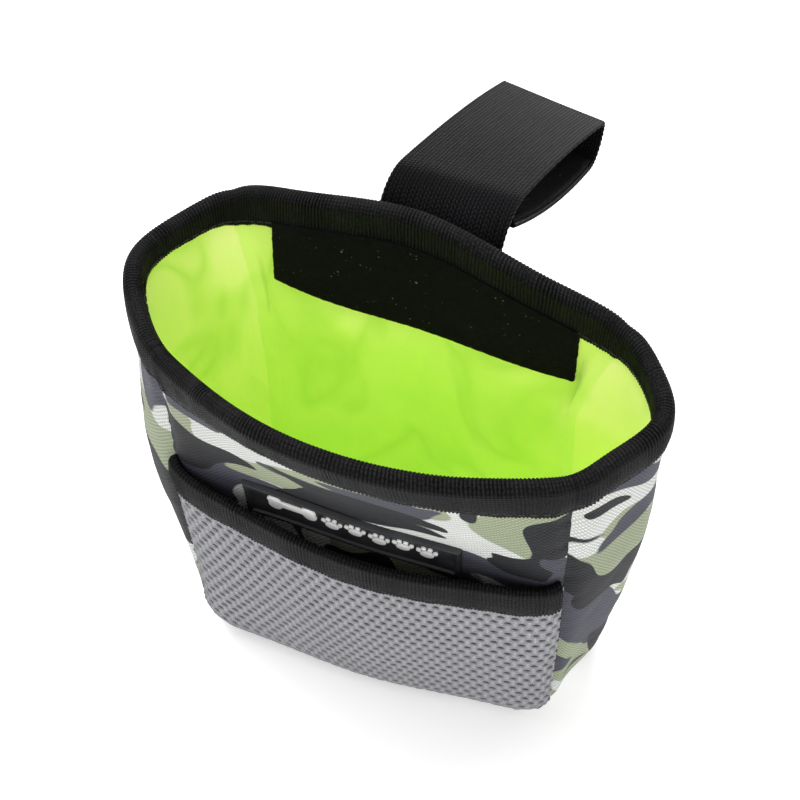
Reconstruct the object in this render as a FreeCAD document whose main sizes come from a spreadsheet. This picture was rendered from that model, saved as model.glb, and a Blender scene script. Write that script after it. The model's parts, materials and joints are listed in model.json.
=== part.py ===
"""Treat pouch: an open-topped fabric pouch with a mesh front pocket and a webbing belt loop.

Millimetres. +Z is up, -Y is the front, +X is the wearer's right-hand side of the mouth.
The origin is the centre of the base, on the underside of the gusset.
Soft parts are plain closed solids of the right size and place.
"""
import FreeCAD, Part
import math
import os
import Sketcher
from FreeCAD import Placement, Rotation, Vector

os.makedirs("parts", exist_ok=True)
doc = FreeCAD.newDocument("treat_pouch")

# ---------------------------------------------------------------- driving dimensions
DIMENSIONS = [
    # wall layers, outside to inside
    ("shell_fabric", 0.9),
    ("foam_thick", 2.1),
    ("lining_thick", 0.5),
    ("layer_gap", 0.05),
    ("seam_gap", 0.35),
    ("flex_gap", 0.9),
    # heights
    ("rim_height", 150.0),
    ("front_arch", 9.0),
    ("back_arch", 16.0),
    ("loft_top", 175.0),
    ("panel_foot", 0.6),
    ("corner_radius", 12.0),
    # front panel: half width, seam depths at the base and at the rim, depth of its middle
    ("front_half", 61.0),
    ("front_seam_base", -25.0),
    ("front_seam_left", -24.0),
    ("front_seam_right", -31.0),
    ("front_mid_base", -31.0),
    ("front_mid_belly", -33.0),
    ("front_mid_waist", -30.0),
    ("front_mid_top", -55.0),
    ("belly_height", 50.0),
    ("waist_height", 100.0),
    # back panel
    ("back_half", 61.0),
    ("back_seam_base", 27.5),
    ("back_seam_left", 37.0),
    ("back_seam_right", 22.0),
    ("back_mid_base", 28.3),
    ("back_mid_top", 31.5),
    # how full each side of the gusset stands
    ("fullness_left", 1.08),
    ("fullness_right", 1.0),
    ("floor_half", 52.0),
    # folded ribbon round the rim and along the pocket
    ("ribbon_thick", 0.8),
    ("ribbon_fold", 12.0),
    # front pocket
    ("mesh_thick", 1.6),
    ("pocket_height", 98.0),
    ("pocket_sag", 1.0),
    ("pocket_gape", 10.0),
    ("pocket_half", 60.0),
    ("pocket_ribbon", 13.0),
    # rubber label and its raised motif
    ("label_left", 36.0),
    ("label_right", 31.0),
    ("label_low", 88.5),
    ("label_tall", 17.0),
    ("label_thick", 1.6),
    ("motif_thick", 0.6),
    ("motif_left", 28.0),
    ("motif_right", 23.0),
    ("motif_drop", 9.0),
    ("motif_tall", 5.0),
    # hook-and-loop tapes inside the mouth
    ("tape_left", 46.0),
    ("tape_right", 49.5),
    ("tape_low", 124.0),
    ("tape_thick", 1.5),
    ("hook_half", 40.0),
    ("hook_tall", 18.0),
    # belt loop of webbing
    ("strap_width", 38.0),
    ("strap_thick", 1.4),
    ("strap_yaw", -5.0),
    ("strap_shift", 3.0),
    ("anchor_height", 150.0),
    ("anchor_length", 24.0),
    ("anchor_gap", 1.1),
    ("root_radius", 13.0),
    ("root_turn", 115.0),
    ("upper_radius", 738.0),
    ("upper_turn", 8.0),
    ("fold_radius", 1.6),
    ("fold_turn", 85.0),
    ("end_run", 5.0),
    ("end_radius", 8.0),
    ("end_turn", 88.0),
    ("lower_radius", 420.0),
    ("lower_turn", 13.6),
    ("strap_tape_width", 36.0),
    ("strap_hook_length", 32.0),
]

sheet = doc.addObject("Spreadsheet::Sheet", "Dims")
for row, (alias, size) in enumerate(DIMENSIONS, start=1):
    sheet.set(f"A{row}", alias)
    sheet.set(f"B{row}", str(size))
    sheet.setAlias(f"B{row}", alias)
doc.recompute()


def value(expression):
    """Number that an expression over the sheet's cells gives now."""
    return float(sheet.evalExpression(expression))


def dim(name):
    return f"Dims.{name}"


# ---------------------------------------------------------------- sketch helpers
def plane(body, role):
    """One of the body's own origin planes."""
    return next(item for item in body.Origin.OriginFeatures if item.Role == role)


def new_body(name):
    return doc.addObject("PartDesign::Body", name)


def new_sketch(body, name, role, level="0"):
    """Sketch on an origin plane of the body, raised by the expression level."""
    sketch = body.newObject("Sketcher::SketchObject", name)
    sketch.AttachmentSupport = [(plane(body, role), "")]
    sketch.MapMode = "FlatFace"
    sketch.setExpression("AttachmentOffset.Base.z", level)
    return sketch


def bind(sketch, kind, geometry, position, expression):
    """Coordinate of a sketch point, bound to an expression over the sheet."""
    number = sketch.addConstraint(Sketcher.Constraint(kind, geometry, position, value(expression)))
    sketch.setExpression(f"Constraints[{number}]", expression)


def bind_point(sketch, geometry, position, point):
    bind(sketch, "DistanceX", geometry, position, point[0])
    bind(sketch, "DistanceY", geometry, position, point[1])


def vector(point):
    return Vector(value(point[0]), value(point[1]), 0)


def contour(sketch, start, segments):
    """Closed outline through bound points: a segment is (end,) or, for an arc, (middle, end)."""
    corner = start
    edges = []
    for segment in segments:
        end = segment[-1]
        if len(segment) == 1:
            edge = sketch.addGeometry(Part.LineSegment(vector(corner), vector(end)))
        else:
            edge = sketch.addGeometry(Part.Arc(vector(corner), vector(segment[0]), vector(end)))
            middle = sketch.addGeometry(Part.Point(vector(segment[0])), True)
            sketch.addConstraint(Sketcher.Constraint("PointOnObject", middle, 1, edge))
            bind_point(sketch, middle, 1, segment[0])
        forward = sketch.getPoint(edge, 1).isEqual(vector(corner), 1e-6)
        edges.append((edge, 1, 2) if forward else (edge, 2, 1))
        bind_point(sketch, edge, edges[-1][2], end)
        corner = end
    for this, following in zip(edges, edges[1:] + edges[:1]):
        joint = Sketcher.Constraint("Coincident", this[0], this[2], following[0], following[1])
        sketch.addConstraint(joint)


def loft(body, name, sketches):
    feature = body.newObject("PartDesign::AdditiveLoft", name)
    feature.Profile = sketches[0]
    feature.Sections = sketches[1:]
    feature.Ruled = True


def slab(name, start, segments):
    """Thick plate whose outline is drawn in the XZ plane, wide enough to cut right through."""
    body = new_body(name)
    sketch = new_sketch(body, f"{name}_outline", "XZ_Plane")
    contour(sketch, start, segments)
    pad = body.newObject("PartDesign::Pad", f"{name}_pad")
    pad.Profile = sketch
    pad.Midplane = True
    pad.Length = 260
    return body


def between(low, high, share):
    """Expression for a value part of the way from one cell to another."""
    return f"({dim(low)} + ({dim(high)} - {dim(low)}) * ({share}))"


def common(name, base, tool):
    feature = doc.addObject("Part::MultiCommon", name)
    feature.Shapes = [base, tool]
    return feature


def cut(name, base, tool):
    feature = doc.addObject("Part::Cut", name)
    feature.Base = base
    feature.Tool = tool
    return feature


def label(feature, node):
    """The Label names the node's file."""
    feature.Label = node
    nodes.append(feature)


nodes = []

# ---------------------------------------------------------------- depths through the wall
skin_in = dim("shell_fabric")
foam_out = f"({skin_in} + {dim('layer_gap')})"
foam_in = f"({foam_out} + {dim('foam_thick')})"
lining_out = f"({foam_in} + {dim('layer_gap')})"
wall = f"({lining_out} + {dim('lining_thick')})"
LAYERS = [("panel", "0", skin_in), ("foam", foam_out, foam_in), ("lining", lining_out, wall)]


# ---------------------------------------------------------------- front and back walls
def wall_band(name, levels, half, inward, outer, inner):
    """Curved sheet between two depths of a wall, lofted through horizontal bands.

    levels holds (height, left seam, middle, right seam); inward is + for the front, - for the back.
    """
    body = new_body(name)
    sketches = []
    for number, (height, left, middle, right) in enumerate(levels):
        sketch = new_sketch(body, f"{name}_band{number}", "XY_Plane", height)

        def row(depth):
            return [(f"-{half}", f"{left} {inward} {depth}"), ("0", f"{middle} {inward} {depth}"),
                    (half, f"{right} {inward} {depth}")]

        near, far = row(outer), row(inner)
        contour(sketch, near[0], [(near[1], near[2]), (far[2],), (far[1], far[0]), (near[0],)])
        sketches.append(sketch)
    loft(body, f"{name}_loft", sketches)
    return body


def rim_share(height):
    """How far up the wall a height is, from 0 at the base to 1 at the rim."""
    return f"{height} / {dim('rim_height')}"


def front_level(height, middle):
    """Bend of the front panel, or of the pocket on it, at one height."""
    left = between("front_seam_base", "front_seam_left", rim_share(height))
    right = between("front_seam_base", "front_seam_right", rim_share(height))
    return (height, left, middle, right)


def back_level(height):
    """Bend of the back panel at one height."""
    left = between("back_seam_base", "back_seam_left", rim_share(height))
    right = between("back_seam_base", "back_seam_right", rim_share(height))
    middle = between("back_mid_base", "back_mid_top", rim_share(height))
    return (height, left, middle, right)


FRONT_LEVELS = [front_level("0", dim("front_mid_base")),
                front_level(dim("belly_height"), dim("front_mid_belly")),
                front_level(dim("waist_height"), dim("front_mid_waist")),
                front_level(dim("loft_top"), dim("front_mid_top"))]
BACK_LEVELS = [back_level("0"), back_level(dim("loft_top"))]


def panel_outline(half, low, top, arch):
    """Upright panel with round bottom corners and an arched top edge."""
    radius = dim("corner_radius")
    bevel = f"{radius} * (1 - cos(45))"
    start = (f"-{half} + {radius}", low)
    segments = [((f"{half} - {radius}", low),),
                ((f"{half} - {bevel}", f"{low} + {bevel}"), (half, f"{low} + {radius}")),
                ((half, top),),
                (("0", f"{top} + {arch}"), (f"-{half}", top)),
                ((f"-{half}", f"{low} + {radius}"),),
                ((f"-{half} + {bevel}", f"{low} + {bevel}"), start)]
    return start, segments


def strip_outline(left, right, low, high, arch_low, arch_high):
    """Band whose lower and upper edges both arch."""
    start = (f"-{left}", low)
    middle = f"({right} - {left}) / 2"
    return start, [((middle, f"{low} + {arch_low}"), (right, low)), ((right, high),),
                   ((middle, f"{high} + {arch_high}"), (f"-{left}", high)), (start,)]


def build_wall(side, levels, half, inward, arch):
    """Outer fabric, foam and lining of the front or the back, and the ribbon over their top edge."""
    for layer, outer, inner in LAYERS:
        foot = f"({dim('panel_foot')} + {outer})"
        outline = slab(f"{side}_{layer}_outline",
                       *panel_outline(half, foot, dim("rim_height"), arch))
        sheet_body = wall_band(f"{side}_{layer}_sheet", levels, half, inward, outer, inner)
        label(common(f"{side}_{layer}_solid", sheet_body, outline), f"{side}_{layer}")
    proud = f"(0 - {dim('ribbon_thick')} - {dim('layer_gap')})"
    deep = f"({wall} + {dim('ribbon_thick')} + {dim('layer_gap')})"
    fat = wall_band(f"{side}_rim_sheet", levels, half, inward, proud, deep)
    low = f"({dim('rim_height')} - {dim('ribbon_fold')})"
    high = f"({dim('rim_height')} + {dim('ribbon_thick')} + {dim('layer_gap')})"
    edge = slab(f"{side}_rim_edge", *strip_outline(half, half, low, high, arch, arch))
    core = wall_band(f"{side}_core_sheet", levels, half, inward,
                     f"(0 - {dim('layer_gap')})", f"({wall} + {dim('layer_gap')})")
    gap_top = f"({dim('rim_height')} + {dim('layer_gap')})"
    core_edge = slab(f"{side}_core_edge",
                     *panel_outline(half, dim("panel_foot"), gap_top, arch))
    core_solid = common(f"{side}_core", core, core_edge)
    ribbon = common(f"{side}_ribbon", fat, edge)
    label(cut(f"{side}_binding", ribbon, core_solid), f"rim_binding_{side}")


build_wall("front", FRONT_LEVELS, dim("front_half"), "+", dim("front_arch"))
build_wall("back", BACK_LEVELS, dim("back_half"), "-", dim("back_arch"))

# ---------------------------------------------------------------- side and bottom gusset
# One strip runs down the left side, under the pouch and up the right side. Each station gives
# its height, how far out its seams lie and how far the middle bulges beyond them.
GUSSET_STATIONS = [(0.0, 51.0, 1.0), (1.5, 55.5, 2.5), (5.0, 59.0, 5.0), (12.0, 61.0, 7.5),
                   (45.0, 61.0, 12.5), (90.0, 61.0, 17.0), (150.0, 61.5, 17.7)]
SIDE_SIGNS = {"left": "-", "right": ""}
# The strip stops short of the front and back walls by the ribbon folded over them.
SIDE_INSET = f"({wall} + {dim('ribbon_thick')} + {dim('layer_gap')} + {dim('seam_gap')})"


def station_at(height):
    """Station of the top stretch of the strip at any height."""
    (low, low_seam, low_bulge), (high, high_seam, high_bulge) = GUSSET_STATIONS[-2:]
    share = (height - low) / (high - low)
    return (height, low_seam + (high_seam - low_seam) * share,
            low_bulge + (high_bulge - low_bulge) * share)


def side_section(side, height, seam, bulge, outer, inner):
    """Outline of one side wall at a height, between two depths of the wall."""
    sign = SIDE_SIGNS[side]
    share = rim_share(str(height))
    front = f"({between('front_seam_base', f'front_seam_{side}', share)} + {SIDE_INSET})"
    back = f"({between('back_seam_base', f'back_seam_{side}', share)} - {SIDE_INSET})"
    middle = f"(({front} + {back}) / 2)"

    def across(distance):
        return f"{sign}({distance})"

    seam_out, seam_in = across(f"{seam} - {outer}"), across(f"{seam} - {inner}")
    reach = f"{seam} + {bulge} * {dim(f'fullness_{side}')}"
    mid_out, mid_in = across(f"{reach} - {outer}"), across(f"{reach} - {inner}")
    start = (seam_out, front)
    return start, [((mid_out, middle), (seam_out, back)), ((seam_in, back),),
                   ((mid_in, middle), (seam_in, front)), (start,)]


def side_wall(body, name, side, stations, outer, inner):
    sketches = []
    for number, (height, seam, bulge) in enumerate(stations):
        sketch = new_sketch(body, f"{name}_{side}{number}", "XY_Plane", str(height))
        contour(sketch, *side_section(side, height, seam, bulge, outer, inner))
        sketches.append(sketch)
    loft(body, f"{name}_{side}_loft", sketches)


def gusset_layer(node, outer, inner):
    """Both side walls of one layer and the floor that joins them."""
    body = new_body(f"{node}_strip")
    floor = new_sketch(body, f"{node}_floor", "XY_Plane", outer)
    half = f"({dim('floor_half')} - {outer})"
    front = f"{dim('front_seam_base')} + {SIDE_INSET}"
    back = f"{dim('back_seam_base')} - {SIDE_INSET}"
    bow = f"{dim('front_mid_base')} + {SIDE_INSET}"
    start = (f"-{half}", front)
    contour(floor, start, [(("0", bow), (half, front)), ((half, back),), ((f"-{half}", back),),
                           (start,)])
    pad = body.newObject("PartDesign::Pad", f"{node}_floor_pad")
    pad.Profile = floor
    pad.setExpression("Length", f"{inner} - {outer}")
    lift = value(outer)
    stations = [(max(height, lift) if number else lift, seam, bulge)
                for number, (height, seam, bulge) in enumerate(GUSSET_STATIONS)]
    stations = [entry for number, entry in enumerate(stations)
                if number == 0 or entry[0] > stations[number - 1][0]]
    for side in SIDE_SIGNS:
        side_wall(body, node, side, stations, outer, inner)
    label(body, node)


for layer, outer, inner in LAYERS:
    gusset_layer("gusset" if layer == "panel" else f"gusset_{layer}", outer, inner)


def side_binding(side):
    """Ribbon folded over the top edge of one side wall."""
    body = new_body(f"side_binding_{side}")
    low = value(dim("rim_height")) - value(dim("ribbon_fold"))
    high = value(dim("rim_height")) + value(dim("ribbon_thick")) + value(dim("layer_gap"))
    proud = f"(0 - {dim('ribbon_thick')} - {dim('layer_gap')})"
    deep = f"({wall} + {dim('ribbon_thick')} + {dim('layer_gap')})"
    fat = [station_at(low), station_at(high)]
    side_wall(body, f"side_binding_{side}", side, fat, proud, deep)
    groove = body.newObject("PartDesign::SubtractiveLoft", f"side_binding_{side}_groove")
    gap_top = value(dim("rim_height")) + value(dim("layer_gap"))
    core_out, core_in = f"(0 - {dim('layer_gap')})", f"({wall} + {dim('layer_gap')})"
    sketches = []
    for number, core in enumerate((station_at(low - 1), station_at(gap_top))):
        sketch = new_sketch(body, f"side_binding_{side}_core{number}", "XY_Plane", str(core[0]))
        contour(sketch, *side_section(side, *core, core_out, core_in))
        sketches.append(sketch)
    groove.Profile = sketches[0]
    groove.Sections = sketches[1:]
    groove.Ruled = True
    label(body, f"rim_binding_{side}")


side_binding("left")
side_binding("right")

# ---------------------------------------------------------------- front pocket
# The mesh lies on the front panel at its seams and stands off it in the middle, most at the top.
pocket_rest = f"(0 - {dim('layer_gap')} * 2)"
mesh_out = f"({pocket_rest} - {dim('mesh_thick')})"
POCKET_LEVELS = [
    front_level("0", f"({dim('front_mid_base')} - 0.3)"),
    front_level(dim("belly_height"), f"({dim('front_mid_belly')} - {dim('pocket_gape')} * 0.4)"),
    front_level(dim("waist_height"), f"({dim('front_mid_waist')} - {dim('pocket_gape')})")]
pocket_shape = slab("pocket_outline", *panel_outline(
    dim("pocket_half"), dim("panel_foot"), dim("pocket_height"), f"(0 - {dim('pocket_sag')})"))
mesh_sheet = wall_band("mesh_sheet", POCKET_LEVELS, dim("front_half"), "+", mesh_out, pocket_rest)
label(common("mesh_pocket_solid", mesh_sheet, pocket_shape), "mesh_pocket")

pocket_top = f"({dim('pocket_height')} + {dim('ribbon_thick')} + {dim('layer_gap')})"
pocket_low = f"({dim('pocket_height')} - {dim('pocket_ribbon')})"
POCKET_RIM = [POCKET_LEVELS[1], POCKET_LEVELS[2]]
mesh_proud = f"({mesh_out} - {dim('layer_gap')} - {dim('ribbon_thick')})"
ribbon_fat = wall_band("pocket_ribbon_sheet", POCKET_RIM, dim("front_half"), "+", mesh_proud,
                       f"({pocket_rest} + {dim('layer_gap')})")
ribbon_edge = slab("pocket_ribbon_edge", *strip_outline(
    dim("pocket_half"), dim("pocket_half"), pocket_low, pocket_top,
    f"(0 - {dim('pocket_sag')})", f"(0 - {dim('pocket_sag')})"))
ribbon_core = wall_band("pocket_core_sheet", POCKET_RIM, dim("front_half"), "+",
                        f"({mesh_out} - {dim('layer_gap')})", f"({pocket_rest} + 3)")
core_outline = slab("pocket_core_edge", *panel_outline(
    dim("front_half"), dim("panel_foot"), f"({dim('pocket_height')} + {dim('layer_gap')})",
    f"(0 - {dim('pocket_sag')})"))
label(cut("pocket_binding_solid", common("pocket_ribbon", ribbon_fat, ribbon_edge),
          common("pocket_core", ribbon_core, core_outline)), "pocket_binding")

# ---------------------------------------------------------------- rubber label and its motif
LABEL_LEVELS = FRONT_LEVELS[1:]
label_back = f"(0 - {dim('layer_gap')})"
label_face = f"({label_back} - {dim('label_thick')})"
label_sheet = wall_band("label_sheet", LABEL_LEVELS, dim("front_half"), "+", label_face, label_back)
label_high = f"({dim('label_low')} + {dim('label_tall')})"
label_shape = slab("label_outline", *strip_outline(
    dim("label_left"), dim("label_right"), dim("label_low"), label_high, "1", "1"))
label(common("label_solid", label_sheet, label_shape), "label_patch")

motif_sheet = wall_band("motif_sheet", LABEL_LEVELS, dim("front_half"), "+",
                        f"({label_face} - {dim('layer_gap')} - {dim('motif_thick')})",
                        f"({label_face} - {dim('layer_gap')})")
motif_low = f"({label_high} - {dim('motif_drop')})"
motif_high = f"({motif_low} + {dim('motif_tall')})"
motif_shape = slab("motif_outline", *strip_outline(
    dim("motif_left"), dim("motif_right"), motif_low, motif_high, "1", "1"))
label(common("motif_solid", motif_sheet, motif_shape), "label_motif")

# ---------------------------------------------------------------- closure tapes inside the mouth
tape_out = f"({wall} + {dim('layer_gap')})"
tape_in = f"({tape_out} + {dim('tape_thick')})"
fold_low = f"({dim('rim_height')} - {dim('ribbon_fold')} - {dim('layer_gap')})"
back_tape = wall_band("back_tape_sheet", BACK_LEVELS, dim("back_half"), "-", tape_out, tape_in)
back_tape_shape = slab("back_tape_outline", *strip_outline(
    dim("tape_left"), dim("tape_right"), dim("tape_low"),
    f"({fold_low} + {dim('back_arch')} * 0.35)", "0.2", f"{dim('back_arch')} * 0.62"))
label(common("back_tape_solid", back_tape, back_tape_shape), "closure_loop_tape")

front_tape = wall_band("front_tape_sheet", FRONT_LEVELS, dim("front_half"), "+", tape_out, tape_in)
front_tape_shape = slab("front_tape_outline", *strip_outline(
    dim("hook_half"), dim("hook_half"), f"({fold_low} - {dim('hook_tall')})", fold_low,
    f"{dim('front_arch')} * 0.6", f"{dim('front_arch')} * 0.6"))
label(common("front_tape_solid", front_tape, front_tape_shape), "closure_hook_tape")

# ---------------------------------------------------------------- belt loop of webbing
# Every strap piece starts at its own origin, heads up +Z and turns towards +Y.


def turn_path(sketch, arcs):
    """Chain of tangent arcs and straight runs; an arc is (radius cell, turn cell), a run (cell,)."""
    place = Vector(0, 0, 0)
    heading = math.radians(90)
    chain = []
    for step in arcs:
        ahead = Vector(math.cos(heading), math.sin(heading), 0)
        if len(step) == 1:
            end = place + ahead * value(step[0])
            edge = sketch.addGeometry(Part.LineSegment(place, end))
            ends = (1, 2)
        else:
            radius, turn = value(step[0]), math.radians(value(step[1]))
            centre = place + Vector(ahead.y, -ahead.x, 0) * radius

            def on_arc(angle):
                spoke = place - centre
                return centre + Vector(spoke.x * math.cos(angle) + spoke.y * math.sin(angle),
                                       spoke.y * math.cos(angle) - spoke.x * math.sin(angle), 0)

            end = on_arc(turn)
            edge = sketch.addGeometry(Part.Arc(place, on_arc(turn / 2), end))
            number = sketch.addConstraint(Sketcher.Constraint("Radius", edge, radius))
            sketch.setExpression(f"Constraints[{number}]", step[0])
            ends = (1, 2) if sketch.getPoint(edge, 1).isEqual(place, 1e-6) else (2, 1)
            heading -= turn
        bind_point(sketch, edge, ends[0], (f"{place.x:.6f}", f"{place.y:.6f}"))
        chain.append((edge,) + ends)
        place = end
    for this, following in zip(chain, chain[1:]):
        sketch.addConstraint(Sketcher.Constraint("Coincident", this[0], this[2],
                                                 following[0], following[1]))
    bind_point(sketch, chain[-1][0], chain[-1][2], (f"{place.x:.6f}", f"{place.y:.6f}"))
    return place, heading


def strap_piece(node, arcs, width, thick):
    """Flat strap of a given width and thickness swept along a chain of arcs."""
    body = new_body(f"{node}_body")
    path = new_sketch(body, f"{node}_path", "YZ_Plane")
    place, heading = turn_path(path, arcs)
    profile = new_sketch(body, f"{node}_profile", "XY_Plane")
    half, deep = f"({width} / 2)", f"({thick} / 2)"
    start = (f"-{half}", f"-{deep}")
    contour(profile, start, [((half, f"-{deep}"),), ((half, deep),), ((f"-{half}", deep),), (start,)])
    pipe = body.newObject("PartDesign::AdditivePipe", f"{node}_pipe")
    pipe.Profile = profile
    pipe.Spine = (path, [""])
    label(body, node)
    return body, place, heading


def strap_place(along, up, heading):
    """Placement of a strap piece whose start is at (along, up) from the anchor, with its heading."""
    yaw = Rotation(Vector(0, 0, 1), value(dim("strap_yaw")))
    tilt = Rotation(Vector(1, 0, 0), math.degrees(heading) - 90)
    root = Vector(value(dim("strap_shift")), root_depth, value(dim("anchor_height")))
    return Placement(root + yaw.multVec(Vector(0, along, up)), yaw.multiply(tilt))


# The webbing's centre line stands off the back panel's outer face by half its thickness.
root_depth = value(between("back_mid_base", "back_mid_top", rim_share(dim("anchor_height"))))
root_depth += value(dim("strap_thick")) / 2 + value(dim("ribbon_thick"))
root_depth += value(dim("anchor_gap"))
half_thick = value(dim("strap_thick")) / 2
tape_offset = half_thick + value(dim("tape_thick")) / 2 + value(dim("layer_gap"))
end_gap = value(dim("seam_gap"))

anchor = doc.addObject("Part::Box", "anchor_box")
anchor.setExpression("Length", dim("strap_width"))
anchor.setExpression("Width", dim("strap_thick"))
anchor.setExpression("Height", dim("anchor_length"))
anchor_drop = value(dim("anchor_length")) + value(dim("flex_gap"))
corner = Vector(-value(dim("strap_width")) / 2, -half_thick, -anchor_drop)
anchor.Placement = strap_place(0, 0, math.radians(90)).multiply(Placement(corner, Rotation()))
label(anchor, "strap_anchor")

upper_arcs = [(dim("root_radius"), dim("root_turn")), (dim("upper_radius"), dim("upper_turn"))]
upper, upper_end, upper_heading = strap_piece(
    "strap_upper", upper_arcs, dim("strap_width"), dim("strap_thick"))
upper.Placement = strap_place(0, 0, math.radians(90))

lower_arcs = [(dim("fold_radius"), dim("fold_turn")), (dim("end_run"),),
              (dim("end_radius"), dim("end_turn")), (dim("lower_radius"), dim("lower_turn"))]
lower, lower_end, lower_heading = strap_piece(
    "strap_lower", lower_arcs, dim("strap_width"), dim("strap_thick"))
fold = upper_end + Vector(math.cos(upper_heading), math.sin(upper_heading), 0) * end_gap
lower.Placement = strap_place(fold.x, fold.y, upper_heading)


def turned(point, heading):
    """A point of a strap piece's own path, seen from the anchor, for a piece that starts so."""
    angle = heading - math.radians(90)
    return Vector(point.x * math.cos(angle) - point.y * math.sin(angle),
                  point.x * math.sin(angle) + point.y * math.cos(angle), 0)


def inner_side(point, heading, offset):
    """Point moved to the inner face, the side towards which the strap turns."""
    return point + Vector(math.sin(heading), -math.cos(heading), 0) * offset


# Hook tape under the upper run, next to the root; loop tape along the lower run.
root_turn = math.radians(value(dim("root_turn")))
root_radius = value(dim("root_radius"))
root_end = Vector(root_radius * (1 - math.cos(root_turn)), root_radius * math.sin(root_turn), 0)
root_heading = math.radians(90) - root_turn
hook_radius = f"({dim('upper_radius')} - {tape_offset})"
hook_turn = f"({dim('strap_hook_length')} / {hook_radius} * 180 / pi)"
hook, _, _ = strap_piece(
    "strap_hook_tape", [(hook_radius, hook_turn)], dim("strap_tape_width"), dim("tape_thick"))
hook_start = inner_side(root_end, root_heading, tape_offset)
hook.Placement = strap_place(hook_start.x, hook_start.y, root_heading)

loop_radius = f"({dim('lower_radius')} - {tape_offset})"
loop, _, _ = strap_piece(
    "strap_loop_tape", [(loop_radius, dim("lower_turn"))], dim("strap_tape_width"),
    dim("tape_thick"))
final_heading = upper_heading + lower_heading - math.radians(90)
loop_turn = math.radians(value(dim("lower_turn")))
long_heading = final_heading + loop_turn
lower_radius = value(dim("lower_radius"))
lower_tip = fold + turned(lower_end, upper_heading)
swing = Vector(math.sin(long_heading) - math.sin(final_heading),
               math.cos(final_heading) - math.cos(long_heading), 0) * lower_radius
loop_start = inner_side(lower_tip - swing, long_heading, tape_offset)
loop.Placement = strap_place(loop_start.x, loop_start.y, long_heading)

# ---------------------------------------------------------------- check and write
doc.recompute()
failed = [item.Name for item in doc.Objects if "Invalid" in item.State or "Error" in item.State]
if failed:
    raise RuntimeError(f"features that did not build: {failed}")
for node in nodes:
    if node.Shape.isNull() or not node.Shape.isValid():
        raise RuntimeError(f"{node.Label} has no valid shape")
for node in nodes:
    node.Shape.exportStep(f"parts/{node.Label}.step")
    print(node.Label, len(node.Shape.Solids), round(node.Shape.Volume, 1))
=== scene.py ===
import json
import math

import bmesh
import bpy
import numpy as np
from mathutils import Matrix, Vector
from mathutils.bvhtree import BVHTree


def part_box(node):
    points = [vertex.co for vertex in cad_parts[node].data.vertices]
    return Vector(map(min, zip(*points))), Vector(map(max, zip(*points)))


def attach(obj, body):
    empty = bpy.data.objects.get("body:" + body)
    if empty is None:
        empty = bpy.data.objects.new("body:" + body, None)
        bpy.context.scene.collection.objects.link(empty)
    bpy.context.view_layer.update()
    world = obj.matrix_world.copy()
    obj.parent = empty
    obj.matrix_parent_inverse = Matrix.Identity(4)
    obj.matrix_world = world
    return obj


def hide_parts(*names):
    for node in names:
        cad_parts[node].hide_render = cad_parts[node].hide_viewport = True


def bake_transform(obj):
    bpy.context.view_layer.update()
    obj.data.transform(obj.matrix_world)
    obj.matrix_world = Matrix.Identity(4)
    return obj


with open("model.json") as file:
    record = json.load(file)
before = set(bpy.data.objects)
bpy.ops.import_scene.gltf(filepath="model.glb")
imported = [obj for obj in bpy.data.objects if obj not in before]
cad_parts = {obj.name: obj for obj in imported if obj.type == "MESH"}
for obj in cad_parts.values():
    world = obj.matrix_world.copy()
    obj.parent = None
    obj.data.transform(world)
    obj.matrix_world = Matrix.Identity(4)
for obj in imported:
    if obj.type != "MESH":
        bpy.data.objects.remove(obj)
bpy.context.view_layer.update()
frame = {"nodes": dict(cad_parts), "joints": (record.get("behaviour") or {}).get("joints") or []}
MM = 0.001

# ---- camera, fitted to the photo
bpy.context.scene.view_settings.view_transform = "Standard"
camera_data = bpy.data.cameras.new("camera")
camera_data.sensor_width = 36
camera_data.lens = 68.97
camera_data.clip_start, camera_data.clip_end = 0.01, 20
camera = bpy.data.objects.new("camera", camera_data)
bpy.context.scene.collection.objects.link(camera)
camera.matrix_world = Matrix(((0.94985, -0.24455, 0.19489, 0.08846),
                              (0.31224, 0.77579, -0.54832, -0.24065),
                              (-0.01710, 0.58167, 0.81324, 0.48018),
                              (0, 0, 0, 1)))
bpy.context.scene.camera = camera


# ---- measures taken from the frame
def share_of(value):
    """Value kept between 0 and 1."""
    return np.clip(value, 0, 1)


def surface_of(node):
    mesh = frame["nodes"][node].data
    return BVHTree.FromPolygons([v.co for v in mesh.vertices],
                                [tuple(p.vertices) for p in mesh.polygons])


def hit(tree, origin, direction):
    place = tree.ray_cast(Vector(origin), Vector(direction))[0]
    if place is None:
        raise RuntimeError(f"no surface from {tuple(origin)} towards {tuple(direction)}")
    return place


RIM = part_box("gusset")[1].z
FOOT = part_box("front_panel")[0].z
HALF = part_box("front_panel")[1].x
FRONT_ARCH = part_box("front_panel")[1].z - RIM
BACK_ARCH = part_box("back_panel")[1].z - RIM
CORNER = 15 * MM
WALL = 4.1 * MM
RIB, RIB_TALL = 1.08 * MM, 0.34 * MM
RIBBON_THICK = 0.75 * MM
WEBBING_ROW = 1.05 * MM

front_tree, back_tree, gusset_tree = map(surface_of, ("front_panel", "back_panel", "gusset"))
pocket_tree = surface_of("mesh_pocket")
LEVELS = np.linspace(13 * MM, RIM - 1.5 * MM, 30)
Z_GRID = np.arange(-30, 205) * MM
MIDDLE_ROW, RIM_ROW = 130, 180  # of Z_GRID, at 100 and 150 mm


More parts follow.
